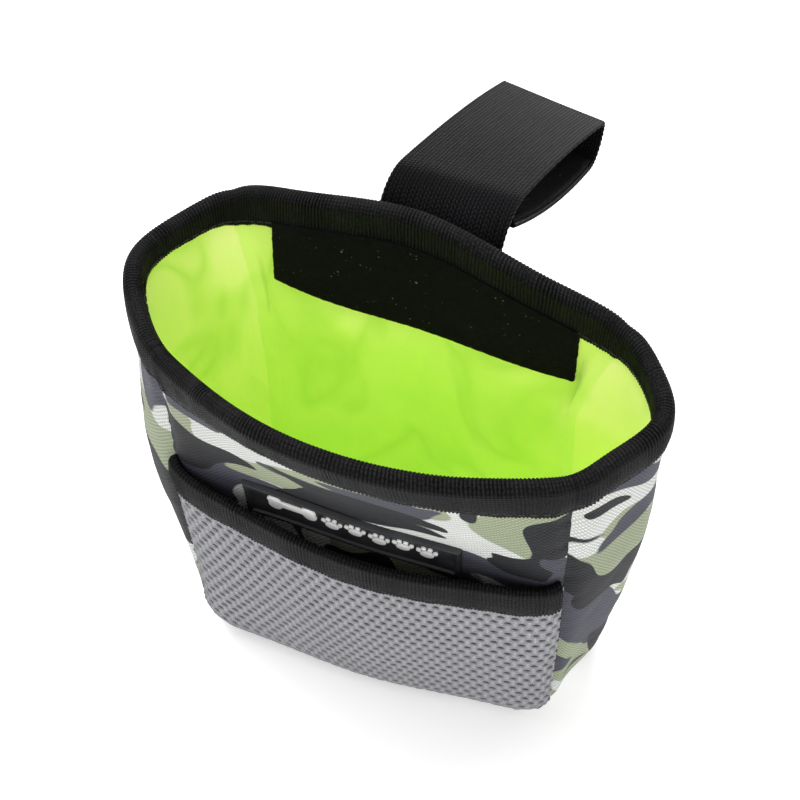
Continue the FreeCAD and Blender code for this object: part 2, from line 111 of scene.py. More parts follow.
def smoothed(values, levels=LEVELS, width=7):
    """Softened curve over Z_GRID through values at the levels, run straight on past its ends."""
    ends = [(levels[0], levels[3], values[0], values[3]),
            (levels[-1], levels[-4], values[-1], values[-4])]
    curve = np.interp(Z_GRID, levels, values)
    for (near, far, at_near, at_far), side in zip(ends, (Z_GRID < levels[0], Z_GRID > levels[-1])):
        slope = (at_near - at_far) / (near - far)
        curve[side] = at_near + slope * (Z_GRID[side] - near)
    kernel = np.exp(-(np.arange(-25, 26) / width) ** 2 / 2)
    padded = np.concatenate([2 * curve[0] - curve[25:0:-1], curve,
                             2 * curve[-1] - curve[-2:-27:-1]])
    return np.convolve(padded, kernel / kernel.sum(), "valid")


def across(tree, x, side):
    """Depth of a panel's outer face at x, one value a level."""
    return np.array([hit(tree, (x, 0.3 * side, z), (0, -side, 0)).y for z in LEVELS])


edge, flank = HALF - 0.2 * MM, 0.66 * HALF
front_mid, front_left, front_right, front_flank_left, front_flank_right = (
    across(front_tree, x, -1) for x in (0, -edge, edge, -flank, flank))
back_mid, back_left, back_right, back_flank_left, back_flank_right = (
    across(back_tree, x, 1) for x in (0, -edge, edge, -flank, flank))
flat = np.zeros_like(LEVELS)
near_rim = share_of((LEVELS - 100 * MM) / (50 * MM))
near_foot = share_of((75 * MM - LEVELS) / (55 * MM))
in_middle = np.sin(share_of((LEVELS - 2 * MM) / (118 * MM)) * math.pi)


def side_point(side, share, fuller):
    """Point of a side wall part of the way from its front seam to its back seam."""
    front, back = (front_left, back_left) if side < 0 else (front_right, back_right)
    y = front + (back - front) * share
    x = np.array([hit(gusset_tree, (0.2 * side, b, z), (-side, 0, 0)).x for b, z in zip(y, LEVELS)])
    return x + side * fuller, y


# The stuffed sides stand squarer at the back and flatter at the front right than plain arcs.
right_side = [side_point(1, 0.2, -2.2 * MM * near_rim - 0.4 * MM),
              side_point(1, 0.5, 0.7 * MM + 1.2 * MM * near_foot - 0.6 * MM * near_rim),
              side_point(1, 0.8, 1.8 * MM + 1.5 * MM * near_foot - 0.2 * MM * near_rim)]
left_side = [side_point(-1, 0.2, 4.2 * MM * in_middle - 1.2 * MM * near_rim),
             side_point(-1, 0.5, 2.6 * MM * in_middle), side_point(-1, 0.8, 0.6 * MM + flat)]
corner_out = 1.6 * MM * near_rim
CONTROLS = ([(flat, front_mid), (flat + flank, front_flank_right), (flat + HALF, front_right)]
            + right_side
            + [(flat + HALF + corner_out, back_right + corner_out / 3),
               (flat + flank, back_flank_right), (flat, back_mid), (flat - flank, back_flank_left),
               (flat - HALF - corner_out / 3, back_left + corner_out / 2)] + left_side[::-1]
            + [(flat - HALF, front_left), (flat - flank, front_flank_left)])
CONTROL_X = [smoothed(x) for x, _ in CONTROLS]
CONTROL_Y = [smoothed(y) for _, y in CONTROLS]
POINTS = len(CONTROLS)


def gap_at(z):
    return (hit(front_tree, (0, -0.3, z), (0, 1, 0)).y
            - hit(pocket_tree, (0, -0.3, z), (0, 1, 0)).y)


pocket_levels = np.linspace(3 * MM, 94 * MM, 16)
POCKET_GAP = smoothed(np.array([gap_at(z) for z in pocket_levels]), pocket_levels, 5)

# ---- the pouch's outer form
# A closed smooth curve at every height runs through sixteen points: the middle, both flanks and
# both seams of the front and of the back, and three points of either side.
at_mid = [np.array([x[MIDDLE_ROW], y[MIDDLE_ROW]]) for x, y in zip(CONTROL_X, CONTROL_Y)]
steps_mid = [float(np.linalg.norm(at_mid[(k + 1) % POINTS] - at_mid[k])) for k in range(POINTS)]
half_round = [(a + b) / 2 for a, b in zip(steps_mid[:8], steps_mid[:7:-1])]
for near, far in ((2, 5), (3, 4)):
    half_round[near] = half_round[far] = (half_round[near] + half_round[far]) / 2
KNOTS = np.cumsum([0] + half_round + half_round[::-1])
LENGTH_FRONT, LENGTH_BACK = KNOTS[2], KNOTS[8] - KNOTS[6]
LENGTH_SIDE = (KNOTS[6] - KNOTS[2]) / 2
ROUND = KNOTS[-1]
BACK_MIDDLE = KNOTS[8]


def bend_matrix():
    """Matrix that gives a closed cubic spline's second derivatives from its points."""
    steps = np.diff(KNOTS)
    left, right = np.zeros((POINTS, POINTS)), np.zeros((POINTS, POINTS))
    for i in range(POINTS):
        before, after = steps[i - 1], steps[i]
        left[i, i - 1] += before / 6
        left[i, i] += (before + after) / 3
        left[i, (i + 1) % POINTS] += after / 6
        right[i, i - 1] += 1 / before
        right[i, i] -= 1 / before + 1 / after
        right[i, (i + 1) % POINTS] += 1 / after
    return np.linalg.solve(left, right)


BEND = bend_matrix()


def weights(t):
    """How much each point counts at t along the closed curve."""
    t = np.mod(t, ROUND)
    i = np.clip(np.searchsorted(KNOTS, t, "right") - 1, 0, POINTS - 1)
    step = KNOTS[i + 1] - KNOTS[i]
    ahead, behind = KNOTS[i + 1] - t, t - KNOTS[i]
    one = np.eye(POINTS)
    j = (i + 1) % POINTS
    return ((ahead ** 3 / (6 * step) - step * ahead / 6)[..., None] * BEND[i]
            + (behind ** 3 / (6 * step) - step * behind / 6)[..., None] * BEND[j]
            + (ahead / step)[..., None] * one[i] + (behind / step)[..., None] * one[j])


def form(t, z):
    """Points of the outer form at t round the pouch and height z."""
    t, z = np.broadcast_arrays(np.asarray(t, float), np.asarray(z, float))
    share = weights(t)
    x = sum(share[..., k] * np.interp(z, Z_GRID, CONTROL_X[k]) for k in range(POINTS))
    y = sum(share[..., k] * np.interp(z, Z_GRID, CONTROL_Y[k]) for k in range(POINTS))
    return np.stack([x, y, z], -1)


def unit(v):
    return v / np.maximum(np.linalg.norm(v, axis=-1, keepdims=True), 1e-12)


def run_of(line):
    """Length along a line up to each of its points."""
    return np.concatenate([[0], np.cumsum(np.linalg.norm(np.diff(line, axis=0), axis=1))])


def normal_of(surface, t, z, small):
    """Outward normal of a surface given over t and z."""
    along = surface(t + small, z) - surface(t - small, z)
    up = surface(t, z + small) - surface(t, z - small)
    return unit(np.cross(along, up))


def form_normal(t, z):
    return normal_of(form, t, z, 0.4 * MM)


def edge_share(z):
    """Share of the full half width that a panel has at height z, less than 1 in the corners."""
    rise = np.clip(CORNER - (z - FOOT), 0, CORNER)
    return (HALF - CORNER + np.sqrt(np.maximum(CORNER ** 2 - rise ** 2, 0))) / HALF


def front_t(u, z):
    return LENGTH_FRONT * u * edge_share(z)


def back_t(u, z):
    return BACK_MIDDLE - LENGTH_BACK * u * edge_share(z)


def arched(share):
    """Low arch from 1 in the middle to 0 at either end, with a soft start."""
    fall = 1 - share ** 2
    return 1.06 * fall ** 2 / (fall + 0.06)


def from_front(t):
    """t counted from the middle of the front, at most half way round."""
    return np.mod(t + ROUND / 2, ROUND) - ROUND / 2


def top_of(t):
    """Height of the rim's edge at t round the pouch."""
    t = from_front(t)
    front = np.clip(t / LENGTH_FRONT, -1, 1)
    back = np.clip((np.mod(t, ROUND) - BACK_MIDDLE) / LENGTH_BACK, -1, 1)
    skew = (3.4 * MM * np.exp(-((front + 0.42) / 0.38) ** 2)
            - 1.9 * MM * np.exp(-((front - 0.55) / 0.3) ** 2))
    side = np.abs(np.abs(np.mod(t, ROUND) - BACK_MIDDLE) - LENGTH_BACK)
    corner = 1.5 * MM * np.exp(-(side / (9 * MM)) ** 2)
    return (RIM + FRONT_ARCH * arched(front) + skew * arched(front) ** 0.5
            + (BACK_ARCH + 1.2 * MM) * arched(back) + corner)


def at_x(x, z, side="front"):
    """t at which the front or the back has the given x."""
    x, z = np.broadcast_arrays(np.asarray(x, float), np.asarray(z, float))
    sign = 1 if side == "front" else -1
    t = x / HALF * LENGTH_FRONT if side == "front" else BACK_MIDDLE - x / HALF * LENGTH_BACK
    for _ in range(3):
        t = t + sign * (x - form(t, z)[..., 0])
    return t


# ---- seams pull the form in
def strip_stations(side_rows=64, corner_rows=12, floor_rows=56):
    """The side and bottom strip from the left rim down, under the pouch and up to the right rim.

    Gives the signed share of the half width, the height and the corner angle of each station.
    """
    heights = np.linspace(RIM, FOOT + CORNER, side_rows)
    angles = np.linspace(0, math.pi / 2, corner_rows + 2)[1:-1]
    flats = np.linspace(-1, 1, floor_rows) * (HALF - CORNER) / HALF
    down = [(-1, z, 0) for z in heights]
    down += [(-(HALF - CORNER + CORNER * math.cos(a)) / HALF,
              FOOT + CORNER - CORNER * math.sin(a), a) for a in angles]
    floor = [(s, FOOT, math.pi / 2) for s in flats]
    up = [(-s, z, a) for s, z, a in reversed(down)]
    return np.array(down + floor + up)


SEAM_ROWS = 180


def seam_lines():
    s, z, _ = strip_stations(SEAM_ROWS, 24, 150).T
    return form(LENGTH_FRONT * s, z), form(BACK_MIDDLE - LENGTH_BACK * s, z)


FRONT_SEAM, BACK_SEAM = seam_lines()


def waves(p, size, seed, count=7):
    """Smooth random field between about -1 and 1, with features of the given size."""
    r = np.random.default_rng(seed)
    total = np.zeros(p.shape[:-1])
    for _ in range(count):
        direction = unit(r.normal(size=3)) * 2 * math.pi / (size * r.uniform(0.7, 1.5))
        total += np.sin(p @ direction + r.uniform(0, 2 * math.pi))
    return total / math.sqrt(count)


def pinch(points, line, depth=1.5 * MM, width=3.4 * MM, pucker=0.16 * MM):
    """Moves points near a seam inwards, with the small puckers that a stitched seam has."""
    shape = points.shape
    flat_points = points.reshape(-1, 3)
    core = np.stack([line[:, 0] * 0.78, line[:, 1] * 0.2, np.maximum(line[:, 2], 15 * MM)], -1)
    out = unit(line - core)
    low = share_of(1 - (line[:, 2] - FOOT) / (12 * MM))
    high = share_of((line[:, 2] - (RIM - 16 * MM)) / (12 * MM))
    amount = depth * (1 + 0.9 * low) * (1 - 0.65 * high)
    run = run_of(line)
    ripple = pucker * (np.sin(run / (7 * MM) * 2 * math.pi) + 0.6 * np.sin(run / (4.3 * MM) * 6.28))
    result = flat_points.copy()
    for begin in range(0, len(flat_points), 20000):
        part = flat_points[begin:begin + 20000]
        square = ((part ** 2).sum(1)[:, None] + (line ** 2).sum(1)[None]
                  - 2 * part @ line.T)
        nearest = square.argmin(1)
        far = np.sqrt(np.maximum(square[np.arange(len(part)), nearest], 0))
        pull = amount[nearest] * np.exp(-(far / (width * (1 + 0.4 * low[nearest]))) ** 2)
        pull += ripple[nearest] * (1 - high[nearest]) * np.exp(-(far / (5 * MM)) ** 2) * (far > 0)
        result[begin:begin + 20000] -= out[nearest] * pull[:, None]
    return result.reshape(shape)


def settle(points):
    """Soft uneven lie that every part of the pouch shares."""
    share = share_of(points[..., 2:] / (60 * MM))
    drift = np.stack([waves(points, 110 * MM, 21), waves(points, 95 * MM, 22),
                      np.zeros(points.shape[:-1])], -1)
    return points + drift * 0.45 * MM * share


def sewn(points):
    """Points as they lie in the finished pouch, pulled in at its seams."""
    for seam in (FRONT_SEAM, BACK_SEAM):
        points = pinch(points, seam)
    return settle(points)


# ---- mesh helpers
def link(name, verts, faces, uv=None, sharp=None, fix_normals=True):
    """New object from arrays; uv holds metres along the cloth, one pair a vertex."""
    mesh = bpy.data.meshes.new(name)
    mesh.from_pydata(np.asarray(verts).reshape(-1, 3).tolist(), [],
                     faces.tolist() if hasattr(faces, "tolist") else faces)
    if uv is not None:
        layer = mesh.uv_layers.new(name="Cloth")
        index = np.empty(len(mesh.loops), np.int32)
        mesh.loops.foreach_get("vertex_index", index)
        layer.data.foreach_set("uv", np.asarray(uv, np.float32).reshape(-1, 2)[index].ravel())
    if fix_normals:
        work = bmesh.new()
        work.from_mesh(mesh)
        bmesh.ops.recalc_face_normals(work, faces=work.faces)
        work.to_mesh(mesh)
        work.free()
    mesh.polygons.foreach_set("use_smooth", [True] * len(mesh.polygons))
    if sharp:
        mesh.set_sharp_from_angle(angle=math.radians(sharp))
    made = bpy.data.objects.new(name, mesh)
    bpy.context.scene.collection.objects.link(made)
    return made


def quads(rows, columns, start=0):
    index = start + np.arange(rows * columns).reshape(rows, columns)
    return np.stack([index[:-1, :-1], index[:-1, 1:], index[1:, 1:], index[1:, :-1]],
                    -1).reshape(-1, 4)


def slab(name, outer, inner, uv, sharp=50):
    """Closed thin solid between two grids of points."""
    rows, columns = outer.shape[:2]
    count = rows * columns
    index = np.arange(count).reshape(rows, columns)
    ring = np.concatenate([index[0, :-1], index[:-1, -1], index[-1, :0:-1], index[:0:-1, 0]])
    after = np.roll(ring, -1)
    sides = np.stack([ring, ring + count, after + count, after], -1)
    faces = np.concatenate([quads(rows, columns), quads(rows, columns, count)[:, ::-1], sides])
    verts = np.concatenate([outer.reshape(-1, 3), inner.reshape(-1, 3)])
    uvs = np.concatenate([uv.reshape(-1, 2)] * 2)
    return link(name, verts, faces, uvs, sharp=sharp)


def grid_normals(points):
    """Normals of a grid that goes round the pouch, pointing outwards."""
    along = np.gradient(points, axis=1)
    up = np.gradient(points, axis=0)
    normal = unit(np.cross(along, up))
    if (normal * (points - (0, 0, RIM / 2))).sum(-1).mean() < 0:
        normal = -normal
    return normal


def cloth_uv(points):
    """Metres along the rows and up the columns of a grid, from its middle row and column."""
    step_u = np.linalg.norm(np.diff(points, axis=1), axis=2)
    step_v = np.linalg.norm(np.diff(points, axis=0), axis=2)
    u = np.concatenate([np.zeros((len(points), 1)), np.cumsum(step_u, 1)], 1)
    u -= u[:, u.shape[1] // 2][:, None]
    v = np.concatenate([np.zeros((1, points.shape[1])), np.cumsum(step_v, 0)], 0)
    return np.stack([u, v], -1)


# ---- node helper
class Shade:
    """One procedural material, built up from small steps."""

    def __init__(self, name, **uniform):
        self.material = bpy.data.materials.new(name)
        self.material.use_nodes = True
        self.tree = self.material.node_tree
        self.shader = self.tree.nodes["Principled BSDF"]
        for socket, number in uniform.items():
            self.shader.inputs[socket.replace("_", " ")].default_value = number
        coordinates = self.add("ShaderNodeUVMap")
        coordinates.uv_map = "Cloth"
        split = self.add("ShaderNodeSeparateXYZ", (coordinates.outputs[0],))
        self.cloth = coordinates.outputs[0]
        self.u, self.v = split.outputs[0], split.outputs[1]
        self.place = self.add("ShaderNodeTexCoord").outputs["Object"]

    def add(self, kind, inputs=(), **settings):
        node = self.tree.nodes.new(kind)
        for key, setting in settings.items():
            setattr(node, key, setting)
        for socket, value in zip(node.inputs, inputs):
            self.put(socket, value)
        return node

    def put(self, socket, value):
        if isinstance(value, bpy.types.NodeSocket):
            self.tree.links.new(value, socket)
        elif value is not None:
            socket.default_value = value

    def math(self, operation, *values):
        return self.add("ShaderNodeMath", values, operation=operation).outputs[0]

    def times(self, *values):
        return self.math("MULTIPLY", *values)

    def times_plus(self, *values):
        return self.math("MULTIPLY_ADD", *values)

    def wave(self, value, pitch, shift=0.0):
        """abs(sin) ridges of the given pitch in metres."""
        angle = self.times_plus(value, math.pi / pitch, shift)
        return self.math("ABSOLUTE", self.math("SINE", angle))

    def noise(self, scale, detail=2.0, where=None, stretch=None, distortion=0.0, rough=0.5):
        """Noise in the piece's own space, or in the given one."""
        where = where or self.place
        if stretch:
            mapping = self.add("ShaderNodeMapping")
            self.put(mapping.inputs["Vector"], where)
            mapping.inputs["Scale"].default_value = stretch
            where = mapping.outputs[0]
        node = self.add("ShaderNodeTexNoise")
        for socket, value in (("Vector", where), ("Scale", scale), ("Detail", detail),
                              ("Roughness", rough), ("Distortion", distortion)):
            self.put(node.inputs[socket], value)
        return node.outputs["Fac"]

    def span(self, value, low, high, to_low=0.0, to_high=1.0):
        return self.add("ShaderNodeMapRange", (value, low, high, to_low, to_high)).outputs[0]

    def vary(self, noise, to_low, to_high):
        """Noise spread over its usual range, 0.3 to 0.7."""
        return self.span(noise, 0.3, 0.7, to_low, to_high)

    def mix(self, share, first, second, kind="MIX"):
        node = self.add("ShaderNodeMix", data_type="RGBA", blend_type=kind)
        self.put(node.inputs[0], share)
        self.put(node.inputs[6], first)
        self.put(node.inputs[7], second)
        return node.outputs[2]

    def finish(self, colour, rough, height=None, depth=None):
        self.put(self.shader.inputs["Base Color"], colour)
        self.put(self.shader.inputs["Roughness"], rough)
        if height is not None:
            bump = self.add("ShaderNodeBump")
            bump.inputs["Distance"].default_value = depth
            self.put(bump.inputs["Height"], height)
            self.put(self.shader.inputs["Normal"], bump.outputs[0])
        return self.material

    def woven(self, pitch_u, pitch_v):
        """Height of a plain weave, and how deep in a gap a point is."""
        warp, weft = self.wave(self.u, pitch_u), self.wave(self.v, pitch_v)
        product = self.times(self.math("SINE", self.times(self.u, math.pi / pitch_u)),
                            self.math("SINE", self.times(self.v, math.pi / pitch_v)))
        over = self.math("GREATER_THAN", product, 0.0)
        along = self.times(self.math("POWER", warp, 0.5), weft)
        cross = self.times(self.math("POWER", weft, 0.5), warp)
        height = self.add("ShaderNodeMix", (over, cross, along), data_type="FLOAT").outputs[0]
        return height, product


def rgb(r, g, b):
    """Screen colour, 0 to 255, as the shader's linear colour."""
    return tuple(((c / 255 + 0.055) / 1.055) ** 2.4 if c > 10 else c / 255 / 12.92
                 for c in (r, g, b)) + (1.0,)


# ---- materials
def camo(name, seed):
    s = Shade(name, Specular_IOR_Level=0.18, Sheen_Weight=0.03, Sheen_Roughness=0.5)
    base = s.add("ShaderNodeVectorMath", (s.cloth, (0.37 * seed, 0.71 * seed, 0.0)),
                 operation="ADD").outputs[0]

    def blobs(offset, size, cover):
        moved = s.add("ShaderNodeVectorMath", (base, (offset, offset * 1.7, offset)),
                      operation="ADD").outputs[0]
        field = s.noise(size, 1.0, moved, (1.0, 1.3, 1.0), 0.75, 0.4)
        return s.span(field, cover - 0.004, cover + 0.004)

    colour = s.mix(blobs(0.0, 23, 0.495), rgb(224, 226, 222), rgb(163, 172, 142))
    colour = s.mix(blobs(3.1, 24, 0.545), colour, rgb(76, 76, 88))
    colour = s.mix(blobs(7.7, 26, 0.572), colour, rgb(30, 31, 35))
    height, _ = s.woven(0.9 * MM, 0.9 * MM)
    fleck = s.noise(2600, 2, s.cloth)
    # the weave's height darkens the colour in its gaps: painted shade; fleck and worn add random
    # tone
    gap_shade_and_tone = s.times(s.span(height, 0.0, 0.75, 0.62, 1.06), s.vary(fleck, 0.9, 1.08))
    worn = s.noise(45, 3)
    gap_shade_and_tone = s.times(gap_shade_and_tone, s.vary(worn, 0.94, 1.04))
    grey = s.add("ShaderNodeCombineXYZ", (gap_shade_and_tone, gap_shade_and_tone, gap_shade_and_tone)).outputs[0]
    colour = s.mix(1.0, colour, grey, "MULTIPLY")
    return s.finish(colour, s.vary(fleck, 0.62, 0.82), height, 0.16 * MM)


def ribbon():
    s = Shade("grosgrain", Specular_IOR_Level=0.08, Sheen_Weight=0.008, Sheen_Roughness=0.4)
    rib = s.wave(s.times_plus(s.noise(90, 2, s.cloth), 1.2 * MM, s.u), RIB)
    threads = s.wave(s.times_plus(s.noise(400, 1, s.cloth), 0.5 * MM, s.v), 0.95 * MM)
    fleck = s.noise(1500, 3, s.cloth)
    # darker in the rib valleys and between the cross threads: painted shade; fleck adds random tone
    groove_shade = s.times(s.span(rib, 0.15, 0.95, 0.0, 1.0), s.span(threads, 0.0, 0.8, 0.35, 1.0))
    tone = s.times(groove_shade, s.span(fleck, 0.35, 0.7, 0.15, 2.3))
    colour = s.mix(tone, (0.0005, 0.0005, 0.0006, 1), (0.0135, 0.0133, 0.0142, 1))
    height = s.math("ADD", s.times(rib, 0.7),
                    s.times(s.times(threads, rib), 0.5))
    height = s.times_plus(fleck, 0.5, height)
    return s.finish(colour, s.vary(fleck, 0.5, 0.75), height, 0.3 * MM)


def webbing():
    s = Shade("webbing", Specular_IOR_Level=0.055, Sheen_Weight=0.003, Sheen_Roughness=0.35)
    row = s.wave(s.u, WEBBING_ROW)
    side = s.math("GREATER_THAN", s.math("SINE", s.times(s.u, math.pi / WEBBING_ROW)), 0.0)
    lean = s.times_plus(side, 2.0, -1.0)
    slant = s.times(s.times(s.u, lean), 1.1)
    stitch = s.wave(s.math("ADD", s.v, slant), 1.45 * MM)
    height = s.times(s.math("POWER", row, 0.6), s.math("POWER", stitch, 0.7))
    wear = s.noise(60, 3)
    fleck = s.noise(1700, 2, s.cloth)
    # colour darkens in the stitch pits and between rows, following the weave's height: painted
    # shade; wear and fleck add random tone
    tone = s.times(s.span(height, 0.25, 0.85, 0.02, 1.0), s.vary(wear, 0.4, 1.5))
    tone = s.times(tone, s.vary(fleck, 0.6, 1.3))
    colour = s.mix(tone, (0.0003, 0.0003, 0.0004, 1), (0.0066, 0.0066, 0.0078, 1))
    height = s.times_plus(fleck, 0.25, height)
    return s.finish(colour, s.span(height, 0.2, 1.0, 0.66, 0.44), height, 0.28 * MM)


def pile(name, fuzz, tone, lint):
    """Velvet-like loop tape, or stiff hook tape, with specks of lint."""
    s = Shade(name, Specular_IOR_Level=0.03, Sheen_Weight=0.015, Sheen_Roughness=0.6)
    grain = s.noise(fuzz, 4, s.cloth, rough=0.75)
    lie = s.noise(260, 3, s.cloth, rough=0.6)
    value = s.times(s.span(grain, 0.3, 0.72, 0.2, 1.3), s.vary(lie, 0.6, 1.25))
    colour = s.mix(value, (0.0008, 0.0007, 0.0009, 1), (tone, tone, tone * 1.05, 1))
    speck = s.noise(900, 1, s.cloth)
    rare = s.times(s.span(speck, lint, lint + 0.02), s.span(s.noise(120, 1, s.cloth), 0.52, 0.6))
    colour = s.mix(s.times(rare, 0.35), colour, (0.35, 0.36, 0.34, 1))
    height = s.times_plus(lie, 0.8, grain)
    return s.finish(colour, s.vary(grain, 0.85, 1.0), height, 0.5 * MM)


def lining(name, deep, pale):
    """Thin bright nylon with creases; the sides get a paler copy, painted light, as they catch more
    light.
    """
    # the emission is a painted glow; the lining is no lamp
    s = Shade(name, Specular_IOR_Level=0.3, Sheen_Weight=0.25, Sheen_Roughness=0.35,
              Subsurface_Weight=0.1, Subsurface_Scale=0.003, Emission_Strength=0.09,
              Emission_Color=(0.75, 1.0, 0.2, 1))
    s.shader.inputs["Subsurface Radius"].default_value = (0.6, 1.0, 0.3)
    twill = s.wave(s.math("ADD", s.u, s.v), 0.55 * MM)
    rip = s.math("GREATER_THAN", s.wave(s.u, 5 * MM), 0.996)
    tone = s.noise(22, 3)
    colour = s.mix(s.span(tone, 0.32, 0.68), deep, pale)
    # darker in the twill's grooves: painted shade
    colour = s.mix(s.times(s.span(twill, 0, 1, 1.0, 0.0), 0.16), colour, (0.45, 0.72, 0.07, 1))
    crease = s.noise(70, 4, stretch=(1, 1, 0.45), distortion=0.6)
    crumple = s.noise(26, 2, stretch=(1, 1, 0.6), distortion=0.5)
    ridge = s.math("ABSOLUTE", s.math("SUBTRACT", crumple, 0.5))
    # darker along the crumples' ridges: painted shade in the creases
    crease_shade = s.span(ridge, 0.0, 0.07, 0.7, 0.0)
    colour = s.mix(crease_shade, colour, (0.50, 0.80, 0.08, 1))
    height = s.math("ADD", s.times(twill, 0.06), s.times(crease, 4.0))
    height = s.times_plus(rip, 0.05, height)
    return s.finish(colour, s.vary(crease, 0.4, 0.55), height, 0.28 * MM)


def knit(name, bright, dark, holes=None):
    """Knitted cloth; holes gives the shadowed colour inside its staggered holes."""
    s = Shade(name, Specular_IOR_Level=0.25, Sheen_Weight=0.05, Sheen_Roughness=0.5)
    loops = s.times(s.wave(s.times_plus(s.v, 0.6, s.u), 0.62 * MM),
                   s.wave(s.v, 0.55 * MM))
    fleck = s.noise(1900, 3, s.cloth)
    worn = s.noise(60, 2)
    # darker between the knit's loops: painted shade; fleck and worn add random tone
    tone = s.times(s.span(loops, 0, 0.8, 0.55, 1.0), s.vary(fleck, 0.75, 1.15))
    tone = s.times(tone, s.vary(worn, 0.93, 1.05))
    colour = s.mix(tone, dark, bright)
    if holes:
        up = s.math("DIVIDE", s.v, CELL_TALL)
        odd = s.times(s.math("MODULO", s.math("FLOOR", up), 2.0), 0.5)
        across_cell = s.math("SUBTRACT", s.math("FRACT", s.math("SUBTRACT", s.math(
            "MULTIPLY_ADD", s.u, 1 / CELL_WIDE, 1.0), odd)), 0.5)
        up_cell = s.math("SUBTRACT", s.math("FRACT", up), 0.5)
        squares = [s.math("POWER", s.math("DIVIDE", value, size), 2.0)
                   for value, size in ((across_cell, 0.275), (up_cell, 0.235))]
        far = s.math("SQRT", s.math("ADD", *squares))
        # painted shade on the walls of the holes
        colour = s.mix(s.span(far, 1.05, 0.85), colour, holes)
        # painted highlight on the strands beside each hole
        strand_highlight = s.times(s.span(s.math("ABSOLUTE", across_cell), 0.33, 0.45),
                               s.span(fleck, 0.4, 0.65))
        colour = s.mix(s.times(strand_highlight, 0.6), colour, rgb(214, 214, 218))
    height = s.times_plus(fleck, 0.5, loops)
    return s.finish(colour, s.vary(fleck, 0.6, 0.8), height, 0.18 * MM)


def moulded(name, colour, light, rough):
    s = Shade(name, Specular_IOR_Level=0.4)
    grain = s.noise(2400, 3)
    smear = s.noise(140, 3)
    tone = s.mix(s.span(smear, 0.3, 0.7), colour, light)
    return s.finish(tone, s.vary(smear, rough, rough + 0.14), grain, 0.03 * MM)


def thread(name, colour, light):
    s = Shade(name, Specular_IOR_Level=0.4, Sheen_Weight=0.1)
    twist = s.noise(3000, 2)
    return s.finish(s.mix(twist, colour, light), s.vary(twist, 0.45, 0.65), twist, 0.05 * MM)


def foam():
    s = Shade("foam", Specular_IOR_Level=0.2)
    cells = s.noise(1600, 3)
    return s.finish(s.mix(cells, rgb(60, 60, 62), rgb(112, 112, 114)),
                    s.span(cells, 0, 1, 0.8, 1.0), cells, 0.3 * MM)


CAMO_FRONT, CAMO_BACK, CAMO_SIDE = camo("camo_front", 1), camo("camo_back", 2), camo("camo_side", 3)
RIBBON, WEBBING, FOAM = ribbon(), webbing(), foam()
LINING = lining("lining", (0.64, 0.93, 0.14, 1), (0.80, 0.98, 0.25, 1))
# paler copy for the side strip: painted light
LINING_SIDE_LIT = lining("lining_side_lit", (0.84, 1.0, 0.27, 1), (0.94, 1.0, 0.38, 1))
LOOP_TAPE, HOOK_TAPE = pile("loop_pile", 1500, 0.0042, 0.70), pile("hook_pile", 2600, 0.007, 0.74)
HOLES_ACROSS, HOLES_UP = 33, 25
POCKET_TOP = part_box("mesh_pocket")[1].z
CELL_WIDE, CELL_TALL = 2 * HALF / HOLES_ACROSS, POCKET_TOP / HOLES_UP
MESH_KNIT = knit("spacer_mesh", rgb(160, 160, 164), rgb(88, 88, 92), rgb(50, 50, 53))
# the backing is a real second layer; its dark colour is painted shade seen through the holes
MESH_BACK_SHADED = knit("spacer_back_shaded", rgb(52, 52, 56), rgb(24, 24, 27))
RUBBER = moulded("charcoal_rubber", rgb(36, 37, 39), rgb(50, 51, 53), 0.36)
WHITE_RUBBER = moulded("white_rubber", rgb(232, 232, 230), rgb(246, 246, 244), 0.5)
THREAD = thread("black_thread", (0.004, 0.004, 0.004, 1), (0.016, 0.016, 0.017, 1))


def dress(piece, material, replaced=(), hold=None):
    """Gives a piece its material and slot and hides the CAD nodes it replaces; hold is its body or
    a function that places it.
    """
    piece.data.materials.append(material)
    if replaced:
        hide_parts(*replaced)
    if isinstance(hold, str):
        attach(piece, hold)
    elif hold:
        hold(piece)
    return piece


def across_sides(piece):
    """A side is tied to no body: its place is baked into its mesh, whose planes follow the seams'
    slant.
    """
    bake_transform(piece)


HOLD = {"front": "front_wall", "back": "pouch_body", "right": across_sides, "left": across_sides}


# ---- walls: fabric, foam, lining
def panel(side, inset=0.0, columns=101, rows=86):
    """Grid on the form of the front or the back, rows from the foot to the rim.

    Inner layers stop short of the bottom strip's outer ones by the inset.
    """
    u = np.linspace(-1, 1, columns)[None, :]
    q = (np.linspace(0, 1, rows) ** 1.15)[:, None]
    place = front_t if side == "front" else back_t
    low = FOOT + inset
    z = low + q * (top_of(place(u, RIM)) - low)
    in_corner = share_of((FOOT + CORNER + 6 * MM - z) / (10 * MM))
    t = place(u * (1 - inset / HALF * in_corner), z)
    return form(t, z), form_normal(t, z)


def strip(inset=0.0, columns=45):
    """Grid on the form of the side and bottom strip, from the left rim to the right one."""
    s, z, angle = (a[:, None] for a in strip_stations().T)
    front, back = form(LENGTH_FRONT * s, z), form(BACK_MIDDLE - LENGTH_BACK * s, z)
    short = inset * np.sin(angle) / np.linalg.norm(back - front, axis=-1)
    v = short + (1 - 2 * short) * np.linspace(0, 1, columns)[None, :]
    straight = front + (back - front) * v[..., None]
    side = np.where(s < 0, -1.0, 1.0)
    level = np.maximum(z, FOOT + CORNER)
    t = side * (LENGTH_FRONT + 2 * LENGTH_SIDE * v)
    full_front = form(side * LENGTH_FRONT, level)
    full_back = form(side * (LENGTH_FRONT + 2 * LENGTH_SIDE), level)
    bulge = form(t, level) - (full_front + (full_back - full_front) * v[..., None])
    fade = np.cos(angle) ** 2
    turned = np.stack([bulge[..., 0] * np.cos(angle), bulge[..., 1],
                       -np.abs(bulge[..., 0]) * np.sin(angle)], -1) * fade[..., None]
    points = straight + turned
    return points, grid_normals(points)


